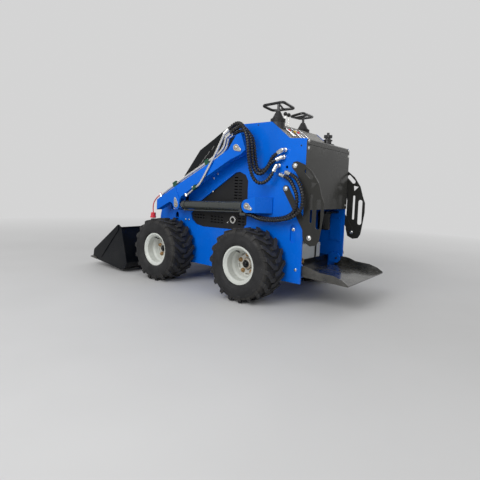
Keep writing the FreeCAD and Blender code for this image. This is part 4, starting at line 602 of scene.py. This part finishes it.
# Each group's name, routes and lengths, the body at its far end, and the start and end of the stretch
# next to that body
HOSES = [
    ("arm_hose", ARM_ROUTES, [655, 600, 571], "arm", (380, 90, 815), (380, -60, 1080)),
    ("lift_hose", LIFT_ROUTES, [602, 656], "lift_barrel_left", (365, 45, 516), (365, -38, 530)),
]
HOSE_WIDE = 20
HOSE_SIDES = 14
# The spiral guard in metres: from turn to turn, above and below the hose's surface, and bare at either end
GUARD_PITCH = 0.0165
GUARD_PROUD = 0.0022
GUARD_DEEP = 0.0024
BARE_END = 0.014
# The gap between the guard's turns: half its width in turns, and how steeply its sides go down
GAP_HALF = 0.24
GAP_SLOPE = 1.7
# Distance between a hose's rings in metres, and how many rings lie between two points of its stated path
RING_STEP = 0.0017
PATH_EVERY = 4


def follow(name, route):
    """Points along the smooth curve that the route's points control."""
    curve = bpy.data.curves.new(name, "CURVE")
    curve.dimensions = "3D"
    spline = curve.splines.new("NURBS")
    spline.points.add(len(route) - 1)
    for point, spot in zip(spline.points, route):
        point.co = (*at(*spot), 1)
    spline.order_u = 3
    spline.use_endpoint_u = True
    spline.resolution_u = 24
    holder = bpy.data.objects.new(name, curve)
    bpy.context.scene.collection.objects.link(holder)
    line = bpy.data.meshes.new_from_object(holder)
    points = [v.co.copy() for v in line.vertices]
    bpy.data.objects.remove(holder)
    return points


def even_steps(points, step):
    """The same line with points a fixed step apart; a very short last step is joined to the one before."""
    out = [points[0].copy()]
    need = step
    for first, second in zip(points, points[1:]):
        length = (second - first).length
        done = 0.0
        while length - done >= need:
            done += need
            out.append(first.lerp(second, done / length))
            need = step
        need -= length - done
    if (out[-1] - points[-1]).length > step / 4:
        out.append(points[-1].copy())
    else:
        out[-1] = points[-1].copy()
    return out


def make_hose(name, route, length, start, end):
    """A hose in its spiral guard, from its fitting on the side plate to the piece that moves."""
    points = even_steps(follow(name + "_line", route), RING_STEP)
    whole = sum((b - a).length for a, b in zip(points, points[1:]))
    outer = HOSE_WIDE / 2 * MM

    def swell(run, turn):
        phase = (run / GUARD_PITCH - turn / (2 * math.pi)) % 1.0
        gap = min(1.0, max(0.0, 1 - abs(phase - 0.5) / GAP_HALF) * GAP_SLOPE)
        bare = min(run, whole - run) < BARE_END
        return outer - GUARD_DEEP if bare else outer + GUARD_PROUD - (GUARD_DEEP + GUARD_PROUD) * gap

    shape = Shape()
    shape.tube(points, HOSE_WIDE / 2, HOSE_SIDES, swell)
    piece = shape.done(name + "_guarded", None, "hose_rubber")
    path = [tuple(p) for p in points[::PATH_EVERY]] + [tuple(points[-1])]
    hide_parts(name)
    at(*start)
    at(*end)
    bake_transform(piece)
    tuple(at(*route[0]))


for kind, routes, lengths, body, start, end in HOSES:
    for number, (route, length) in enumerate(zip(routes, lengths), start=1):
        make_hose("%s_%d" % (kind, number), route, length, start, end)

# Small fasteners and trim. All sizes are in millimetres. A face is given by its distance from the middle
# plane, or from the rear axle on the rear cover. Profiles are (height, radius) pairs.
PLATE_FACE = 300
PLATE_INSIDE = 290
COVER_FACE = 320.3
GUARD_FACE = 313.2
LINK_FACE = 306.6
PIVOT = (-138, 955)
BASE = (-33, 586)
LIFT = (-680, 560)

# Along, height and thread of each bolt on a side plate, and along and height of the plugged holes
PLATE_BOLTS = [(-686, 448, 7), (-651, 449, 7), (-376, 790, 6), (-413, 759, 6), (-418, 667, 6), (279, 217, 8)]
PLATE_PLUGS = [(-43, 1105), (279, 962)]
PLUG = [(-1, 5), (0.6, 5), (0.8, 4)]
# The floor of the pocket behind the rear slot: along, height, half length and half height of the floor, and
# along, height and thread of its bolts. Each face is just inside the plate.
POCKET = (252, 432, 42, 78)
FLOOR_FACE = PLATE_INSIDE - 0.3
FLOOR_THICK = 5
FLOOR_BOLTS = [(276, 512, 7), (276, 351, 7)]
FLOOR_BOLT_FACE = PLATE_INSIDE - 0.5
POCKET_BOLT = (246, 458)
POCKET_BOLT_FACE = PLATE_INSIDE - 1
POCKET_THREAD = 10


def make_plate_details():
    for name, side in SIDES:
        out = LEFT * side
        bolts = Shape()
        for along, height, thread in PLATE_BOLTS:
            bolts.bolt(at(side * PLATE_FACE, along, height), out, thread, roll=along)
        bolts.bolt(at(side * POCKET_BOLT_FACE, *POCKET_BOLT), out, POCKET_THREAD)
        bolts.done("plate_bolts_" + name, "root", "pin_steel")
        plugs = Shape()
        for along, height in PLATE_PLUGS:
            plugs.lathe(at(side * PLATE_FACE, along, height), out, PLUG)
        plugs.done("plate_plugs_" + name, "root", "black_paint", DARK_HOLE)
        floor = Shape()
        along, height, half_long, half_tall = POCKET
        place = lay(at(side * FLOOR_FACE, along, height), BACK, UP, -out)
        floor.slab(place, rectangle(half_long, half_tall), 0, FLOOR_THICK)
        for along, height, thread in FLOOR_BOLTS:
            floor.bolt(at(side * FLOOR_BOLT_FACE, along, height), -out, thread)
        floor.done("pocket_floor_" + name, "root", "blue_paint")


# Rear cover: across and height of its round-headed bolts, and the seam across it
COVER_BOLTS = [(285, 990), (-285, 990), (285, 948), (-285, 948), (281, 607), (-281, 607)]
COVER_BOLT_RADIUS = 7.5
SEAM_HALF = 299
SEAM_LOW = 968
SEAM_HIGH = 971
SEAM_DEEP = 1.2
SEAM_PROUD = 0.15


def make_cover_details():
    bolts = Shape()
    for across, height in COVER_BOLTS:
        bolts.button(at(across, COVER_FACE, height), BACK, COVER_BOLT_RADIUS)
    bolts.done("cover_bolts", "root", "pin_steel")
    seam = Shape()
    outline = [(-SEAM_HALF, SEAM_LOW), (SEAM_HALF, SEAM_LOW), (SEAM_HALF, SEAM_HIGH), (-SEAM_HALF, SEAM_HIGH)]
    seam.slab(lay(at(0, COVER_FACE, 0), LEFT, UP, BACK), outline, -SEAM_DEEP, SEAM_PROUD)
    seam.done("cover_seam", "root", "black_paint", DARK_HOLE)


# Rear guards: face, along and height of the round-headed bolts, and the lower bolt's end on the plate
LOWER_BOLT = (367, 421)
GUARD_BOLTS = [(GUARD_FACE, 250, 843), (GUARD_FACE, *LOWER_BOLT), (LINK_FACE, 188, 705)]
GUARD_BOLT_RADIUS = 11.5
INNER_END_FACE = PLATE_FACE + 0.6
INNER_END_RADIUS = 10


def make_guard_details():
    for name, side in SIDES:
        out = LEFT * side
        bolts = Shape()
        for face, along, height in GUARD_BOLTS:
            bolts.button(at(side * face, along, height), out, GUARD_BOLT_RADIUS)
        bolts.button(at(side * INNER_END_FACE, *LOWER_BOLT), -out, INNER_END_RADIUS)
        bolts.done("guard_bolts_" + name, "root", "pin_steel")


# Pin ends: body, face, centre, and where the retainer's bolt stands from it
PIN_ENDS = [
    ("arm", 405.3, PIVOT, (34, -17)),
    ("arm", 410.3, LIFT, (-12, 45)),
    ("root", 406.0, BASE, (34, -17)),
]
PIN_RECESS = [(-1, 13), (0.4, 13), (0.6, 11)]
PIN_THREAD = 8
RETAINER_THREAD = 5
HEAD_PROUD = 0.5


def make_pin_details():
    for body in ("arm", "root"):
        recesses = Shape()
        bolts = Shape()
        ends = [row[1:] for row in PIN_ENDS if row[0] == body]
        for _, side in SIDES:
            out = LEFT * side
            for face, (along, height), (back, rise) in ends:
                recesses.lathe(at(side * face, along, height), out, PIN_RECESS)
                bolts.bolt(at(side * (face + HEAD_PROUD), along, height), out, PIN_THREAD)
                bolts.bolt(at(side * face, along + back, height + rise), out, RETAINER_THREAD)
        recesses.done("pin_recesses_" + body, body, "pin_steel", RUSTY_NUT)
        bolts.done("pin_bolts_" + body, body, "pin_steel")


# Clamps on the arm: along, height, slope of the edge in degrees and place across, as on the arm, and the
# bolt on the arm's outer face
CLAMP_BOLTS = [(-390, 846.9, 26.1, 373), (-705, 691.2, 27.5, 373)]
CLAMP_TALL = 44
CLAMP_THREAD = 6
ARM_BOLT = (415.2, -510, 691)


def make_clamp_details():
    bolts = Shape()
    for along, height, slope, across in CLAMP_BOLTS:
        lean = math.radians(slope)
        up = Vector((0, -math.sin(lean), math.cos(lean)))
        bolts.bolt(at(across, along, height) + up * CLAMP_TALL * MM, up, CLAMP_THREAD)
    bolts.bolt(at(*ARM_BOLT), LEFT, CLAMP_THREAD)
    bolts.done("clamp_bolts", "arm", "pin_steel")


# Boots: across, along and height of the seam between skirt and cone, and the ribs on both
BOOTS = [(244, 68, 1140), (-150, 22, 1134)]
SKIRT_RIBS = 3
SKIRT_PITCH = 7.5
SKIRT_RIB = [(-3.2, 44.5), (-2, 47.5), (0, 48.5), (2, 47.5), (3.2, 44.5)]
CONE_RIBS = 5
CONE_PITCH = 10
CONE_START = -2
CONE_FOOT = 40
CONE_TAPER = 5.2


def make_boot_details():
    ribs = Shape()
    for across, along, seam in BOOTS:
        for number in range(SKIRT_RIBS):
            ribs.lathe(at(across, along, seam - number * SKIRT_PITCH), UP, SKIRT_RIB, sides=40)
        for number in range(1, CONE_RIBS + 1):
            radius = CONE_FOOT - number * CONE_TAPER
            spot = at(across, along, seam + number * CONE_PITCH + CONE_START)
            ribs.lathe(spot, UP, [(-1.8, radius), (0, radius + 2.6), (1.8, radius - 0.8)], sides=32)
    ribs.done("boot_ribs", "root", "boot_rubber")


# Drive handles: the corners of each bent loop, the ends of its cross bar, and the stem's foot and top
HANDLES = {
    "left": ([(240, -60, 1241), (249, 104, 1246), (102, 100, 1233), (134, -50, 1227)],
             [(246, 68, 1244), (118, 25, 1230)], [(244, 68, 1173), (244, 68, 1245)]),
    "right": ([(-92, -50, 1227), (-80, 58, 1240), (-236, 56, 1238), (-220, -44, 1231)],
              [(-158, 57, 1239), (-156, -47, 1229)], [(-150, 22, 1167), (-150, 22, 1238)]),
}
LOOP_RADIUS = 9
CROSS_RADIUS = 7
STEM_RADIUS = 9


def make_handles():
    for name, (corners, cross, stem) in HANDLES.items():
        bars = Shape()
        bars.loop([at(*corner) for corner in corners], LOOP_RADIUS)
        bars.bar(at(*cross[0]), at(*cross[1]), CROSS_RADIUS)
        bars.bar(at(*stem[0]), at(*stem[1]), STEM_RADIUS, sides=16)
        piece = bars.done("handle_loop_" + name, "root", "black_bar")
        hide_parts("drive_handle_" + name)


# Bars on the console's slope: place across and the look of the sleeve on each
CONSOLE_BARS = [(220, None), (200, RED_PLASTIC), (130, YELLOW_PLASTIC), (85, RED_PLASTIC), (20, None)]
SLOPE_HIGH = (92, 1096)
SLOPE_LOW = (176, 1029)
SLOPE_OUT = Vector((0, 0.627, 0.779))
BAR_RISE = 5.5
BAR_RADIUS = 4
BAR_THREAD = 7
BAR_BOLT_SUNK = 5
# Shares of a bar's length at which its bolts and its sleeve stand
BAR_BOLTS = (0.12, 0.88)
SLEEVE_START = 0.3
SLEEVE = [(0, 5.5), (1, 7), (19, 7), (20, 5.5)]
# Black knobs of the small levers: places across, along and height, and radius
KNOBS_ACROSS = [123, 81]
KNOBS_AT = (44, 1198.3)
KNOB_RADIUS = 13.5
# Filler's rim, and the bolts of the lid that it stands on: places across, along and height
FILLER = (-75, 262, 1007.5)
FILLER_RIM = [(-1, 44), (3, 44), (5, 41), (5.2, 36)]
LID_BOLTS_ACROSS = [-249.4, -87, 87, 249.4]
LID_BOLTS_AT = (210, 1008.2)
LID_THREAD = 6


def bar_ends(across):
    """Upper and lower end of a bar that lies along the console's slope."""
    return [at(across, *end) + SLOPE_OUT * BAR_RISE * MM for end in (SLOPE_HIGH, SLOPE_LOW)]


def make_console_details():
    bars = Shape()
    for across, _ in CONSOLE_BARS:
        high, low = bar_ends(across)
        bars.bar(high, low, BAR_RADIUS)
        for share in BAR_BOLTS:
            bars.bolt(high.lerp(low, share) - SLOPE_OUT * BAR_BOLT_SUNK * MM, SLOPE_OUT, BAR_THREAD)
    bars.done("console_bars", "root", "chrome_rod")
    for look in (RED_PLASTIC, YELLOW_PLASTIC):
        sleeves = Shape()
        for across in [across for across, own in CONSOLE_BARS if own == look]:
            high, low = bar_ends(across)
            sleeves.lathe(high.lerp(low, SLEEVE_START), low - high, SLEEVE)
        sleeves.done("console_" + look.name, "root", "cap_plastic", look)
    knobs = Shape()
    leans = [math.radians(lean) for lean in range(-84, 85, 12)]
    ball = [(KNOB_RADIUS * math.sin(lean), KNOB_RADIUS * math.cos(lean)) for lean in leans]
    for across in KNOBS_ACROSS:
        knobs.lathe(at(across, *KNOBS_AT), UP, ball)
    knobs.done("lever_knobs", "root", "cap_plastic")
    rim = Shape()
    rim.lathe(at(*FILLER), UP, FILLER_RIM, sides=36)
    rim.done("filler_rim", "root", "black_paint")
    bolts = Shape()
    for across in LID_BOLTS_ACROSS:
        bolts.bolt(at(across, *LID_BOLTS_AT), UP, LID_THREAD)
    bolts.done("lid_bolts", "root", "pin_steel")


# Battery: middle across, middle along, half width and half length, its top, and the lid's edge round it
BATTERY = (-10, 153, 160, 44)
BATTERY_TOP = 346
LID_EDGE = (318, 325)
LID_PROUD = 2
# Posts: places across, profile, and the clamp bolt's place from the post's foot, outward and up
POSTS = [-110, 90]
POST = [(-1, 14), (4, 14), (5, 9), (20, 8), (22, 6)]
POST_BOLT = (13, 12)
POST_THREAD = 6
# Leads: across from the post, along and height
LEAD = [(0, 160, 362), (0, 182, 368), (8, 200, 350), (14, 203, 318), (14, 202, 262), (14, 200, 243)]
LEAD_RADIUS = 5.5
LEAD_STEP = 0.006
# Brass fitting on the tray: across, the tray's rear face and height; its stub, its standing pipe and the nut
TRAY_FITTING = (94, 205, 229)
STUB = [(-1, 9), (5, 9), (6, 7), (14, 7)]
PIPE_OUT = 9
PIPE_TALL = 26
PIPE_RADIUS = 4.5
PIPE_NUT = [(-6, 6), (-5, 8), (5, 8), (6, 6)]
PIPE_NUT_UP = 16


def make_battery_details():
    middle, along, half_wide, half_long = BATTERY
    band = Shape()
    edge = rectangle(half_wide + LID_PROUD, half_long + LID_PROUD)
    band.slab(lay(at(middle, along, 0), LEFT, BACK, UP), edge, *LID_EDGE)
    band.done("battery_lid_edge", "root", "battery_case")
    fittings = Shape()
    outward, up = POST_BOLT
    for across in POSTS:
        fittings.lathe(at(across, along, BATTERY_TOP), UP, POST)
        fittings.bolt(at(across + outward, along, BATTERY_TOP + up), LEFT, POST_THREAD)
    across, face, height = TRAY_FITTING
    fittings.lathe(at(across, face, height), BACK, STUB, sides=6)
    foot = at(across, face + PIPE_OUT, height)
    fittings.bar(foot, foot + UP * PIPE_TALL * MM, PIPE_RADIUS)
    fittings.lathe(foot + UP * PIPE_NUT_UP * MM, UP, PIPE_NUT, sides=6)
    fittings.done("battery_fittings", "root", "pin_steel", BRASS)
    leads = Shape()
    for post in POSTS:
        line = follow("battery_lead", [(post + aside, along, height) for aside, along, height in LEAD])
        leads.tube(even_steps(line, LEAD_STEP), LEAD_RADIUS)
    leads.done("battery_leads", "root", "hose_rubber")


# Oil filter under the rear cover: across, along, foot and top of the canister, and its bracket's wall end
FILTER = (-120, 243, 436, 548)
BRACKET_END = -289.5
BRACKET_THICK = 14


def make_filter():
    across, along, low, high = FILTER
    tall = high - low
    profile = [(0, 30), (4, 40), (10, 43), (tall - 16, 43), (tall - 12, 45), (tall, 45)]
    bracket = [(BRACKET_END, -26), (across + 30, -30), (across + 30, 30), (BRACKET_END, 26)]
    can = Shape()
    can.lathe(at(across, along, low), UP, profile, sides=36)
    can.slab(lay(at(0, along, 0), LEFT, BACK, UP), bracket, high, high + BRACKET_THICK)
    can.done("filter_canister", "root", "black_paint")


# Port in the left window's lower corner and the bolt beside it: along and height
PORT_FACE = 288
PORT = (-228, 480)
PORT_RIM = [(-4, 26), (10, 26), (12, 24), (12, 16), (3, 15)]
PORT_HOLE = [(2, 14.6), (4, 14.6), (4.6, 13)]
PORT_BOLT = (-278, 458)
PORT_THREAD = 7


def make_port():
    port = Shape()
    port.lathe(at(PORT_FACE, *PORT), LEFT, PORT_RIM, sides=32)
    port.bolt(at(PORT_FACE, *PORT_BOLT), LEFT, PORT_THREAD)
    port.done("grille_port", "root", "pin_steel")
    hole = Shape()
    hole.lathe(at(PORT_FACE, *PORT), LEFT, PORT_HOLE, sides=24)
    hole.done("grille_port_hole", "root", "black_paint", DARK_HOLE)


# Dust cap on its strap at the front of the left arm
STRAP = [(372, -893, 628), (376, -920, 612), (374, -956, 584), (371, -982, 553), (370, -987, 508),
         (370, -981, 482)]
STRAP_RADIUS = 4
STRAP_STEP = 0.006
STRAP_PIN_AT = (366, -893, 628)
STRAP_PIN = [(0, 11), (12, 11), (14, 9)]
CAP_AT = (370, -980, 484)
CAP_WAY = (0, -0.06, -1)
CAP = [(0, 10), (3, 19), (30, 20), (33, 23), (41, 23), (43, 20)]


def make_dust_cap():
    parts = Shape()
    parts.tube(even_steps(follow("strap_line", STRAP), STRAP_STEP), STRAP_RADIUS)
    parts.lathe(at(*CAP_AT), CAP_WAY, CAP, sides=28)
    parts.lathe(at(*STRAP_PIN_AT), LEFT, STRAP_PIN)
    parts.done("dust_cap", "arm", "cap_plastic", RED_PLASTIC)


# Bucket's rolled top lip: along and height, and the bucket's half width
LIP_AT = (-1172, 351)
LIP_RADIUS = 6.5
BUCKET_HALF = 529


def make_bucket_details():
    lip = Shape()
    lip.bar(at(-BUCKET_HALF, *LIP_AT), at(BUCKET_HALF, *LIP_AT), LIP_RADIUS, sides=16)
    lip.done("bucket_lip", "bucket", "bucket_paint")


# Wheels: nuts on their circle, black hub cap and valve
STUDS = 5
NUT_CIRCLE = 57.15
NUT_FACE = 409.3
NUT_WASHER = [(-0.2, 15), (1.6, 15), (1.9, 14)]
NUT = [(0.2, 12.8), (10.5, 12.8), (12.4, 10)]
STUD = [(10, 6.4), (17.2, 6.4), (18.4, 5.2)]
NOSE_FACE = 428
CAP_FOOT = [(-1, 24), (1.5, 24), (3, 22)]
CAP_HEAD = [(0, 15), (9, 15), (11, 12)]
CAP_HEAD_OUT = 2
CAP_HEAD_ROLL = 0.4
VALVE_RADIUS = 88
VALVE_FACE = 436
VALVE = [(-6, 6), (6, 5), (8, 3.4), (30, 3.4), (31, 4.2), (39, 4.2)]
# Where the valve stands from the axle, back and up, and how far it leans that way as it comes out
VALVE_TOWARDS = (-0.6, 0.8)
VALVE_LEAN = (-0.2, 0.3)


def make_wheel_details():
    for end, axle in (("front", FRONT_AXLE), ("rear", REAR_AXLE)):
        for name, side in SIDES:
            wheel = "%s_%s" % (end, name)
            middle = Vector((0, axle, AXLE_HEIGHT))
            out = LEFT * side
            nuts = Shape()
            for number in range(STUDS):
                turn = math.radians(90 + 360 * number / STUDS)
                off = Vector((0, side * math.cos(turn), math.sin(turn))) * NUT_CIRCLE * MM
                spot = middle + off + out * NUT_FACE * MM
                nuts.lathe(spot, out, NUT_WASHER)
                nuts.lathe(spot, out, NUT, sides=6, roll=number)
                nuts.lathe(spot, out, STUD)
            nuts.done("wheel_nuts_" + wheel, "wheel_" + wheel, "hub_metal", RUSTY_NUT)
            cap = Shape()
            nose = middle + out * NOSE_FACE * MM
            cap.lathe(nose, out, CAP_FOOT, sides=32)
            cap.lathe(nose + out * CAP_HEAD_OUT * MM, out, CAP_HEAD, sides=6, roll=CAP_HEAD_ROLL)
            cap.done("hub_cap_" + wheel, "wheel_" + wheel, "black_paint")
            valve = Shape()
            back, rise = VALVE_TOWARDS
            off = Vector((0, side * back, rise)).normalized() * VALVE_RADIUS * MM
            back, rise = VALVE_LEAN
            way = Vector((side, side * back, rise))
            valve.lathe(middle + off + out * VALVE_FACE * MM, way, VALVE)
            valve.done("valve_" + wheel, "wheel_" + wheel, "cap_plastic")


# Louvres pressed in the hood's sides, light grey on the black hood as painted glints: along and height of
# each, the way they lean and their half length
LOUVRES = [(-462, 977), (-503, 943), (-533, 915), (-561, 884), (-590, 855)]
LOUVRE_WAY = Vector((0, -0.6, -0.8))
LOUVRE_HALF = 16
LOUVRE_RADIUS = 2.6
HOOD_FACE = 268


def make_louvres():
    for name, side in SIDES:
        shape = Shape()
        for along, height in LOUVRES:
            spot = at(side * HOOD_FACE, along, height)
            reach = LOUVRE_WAY * LOUVRE_HALF * MM
            shape.bar(spot + reach, spot - reach, LOUVRE_RADIUS, sides=8)
        # Light grey stands for glints of light on the louvres: a painted highlight, not their own colour.
        shape.done("hood_louvre_glints_" + name, "root", "console_grey")


make_plate_details()
make_cover_details()
make_guard_details()
make_pin_details()
make_clamp_details()
make_boot_details()
make_handles()
make_console_details()
make_battery_details()
make_filter()
make_port()
make_dust_cap()
make_bucket_details()
make_wheel_details()
make_louvres()

# Floor: its size in metres, the background's grey, how far out it starts to turn into that grey and how fast
FLOOR_SIZE = 60.0
FLOOR_COLOUR = (0.62, 0.62, 0.61)
FLOOR_ROUGHNESS = 0.75
BACK_GREY = 0.66
FLOOR_NEAR = 1.9
FLOOR_SWEEP = 4.0


def make_floor():
    bpy.ops.mesh.primitive_plane_add(size=FLOOR_SIZE)
    floor = bpy.context.object
    floor.name = "floor"
    n = Nodes("floor", FLOOR_COLOUR, FLOOR_ROUGHNESS)
    n.base(n.ramp(n.noise(FLOOR_CLOUDS), [(0.3, 0.53), (0.7, 0.56)]))
    rays = n.tree.nodes.new("ShaderNodeLightPath")
    far = n.tree.nodes.new("ShaderNodeVectorMath")
    far.operation = "LENGTH"
    n.link(n.place, far.inputs[0])
    past = n.math("SUBTRACT", far.outputs["Value"], FLOOR_NEAR)
    away = n.math("MULTIPLY", past, 1 / FLOOR_SWEEP, clamp=True)
    glow = n.tree.nodes.new("ShaderNodeEmission")
    glow.inputs["Color"].default_value = (*grey(BACK_GREY), 1)
    blend = n.tree.nodes.new("ShaderNodeMixShader")
    n.link(n.math("MULTIPLY", away, rays.outputs["Is Camera Ray"]), blend.inputs[0])
    n.link(n.shader.outputs[0], blend.inputs[1])
    n.link(glow.outputs[0], blend.inputs[2])
    n.link(blend.outputs[0], n.tree.nodes["Material Output"].inputs["Surface"])
    floor.data.materials.append(n.material)


# Name, place, size in metres and power in watts of each area lamp; all aim at the tower
LAMPS = [
    ("key", (4.3, 0.4, 3.0), 3.0, 150),
    ("fill", (2.2, 5.2, 3.2), 4.0, 50),
    ("front", (-1.5, -5.0, 3.0), 4.0, 40),
    ("far_side", (-4.5, 1.5, 3.0), 3.0, 36),
]
LAMP_AIM = Vector((0, 0, 0.6))
WORLD_STRENGTH = 0.5


def make_lights():
    for name, spot, size, power in LAMPS:
        data = bpy.data.lights.new(name, "AREA")
        data.size = size
        data.energy = power
        lamp = bpy.data.objects.new(name, data)
        lamp.location = spot
        lamp.rotation_mode = "QUATERNION"
        lamp.rotation_quaternion = (LAMP_AIM - Vector(spot)).to_track_quat("-Z", "Y")
        bpy.context.scene.collection.objects.link(lamp)


def make_world():
    """White light on the object, and the background's grey where the camera looks past it."""
    world = bpy.data.worlds.new("world")
    world.use_nodes = True
    tree = world.node_tree
    light = tree.nodes["Background"]
    light.inputs["Color"].default_value = (*grey(1), 1)
    light.inputs["Strength"].default_value = WORLD_STRENGTH
    rays = tree.nodes.new("ShaderNodeLightPath")
    seen = tree.nodes.new("ShaderNodeBackground")
    seen.inputs["Color"].default_value = (*grey(BACK_GREY), 1)
    pick = tree.nodes.new("ShaderNodeMixShader")
    tree.links.new(rays.outputs["Is Camera Ray"], pick.inputs[0])
    tree.links.new(light.outputs[0], pick.inputs[1])
    tree.links.new(seen.outputs[0], pick.inputs[2])
    tree.links.new(pick.outputs[0], tree.nodes["World Output"].inputs["Surface"])
    bpy.context.scene.world = world


make_floor()
make_lights()
make_world()
bpy.context.scene.view_settings.view_transform = "Standard"
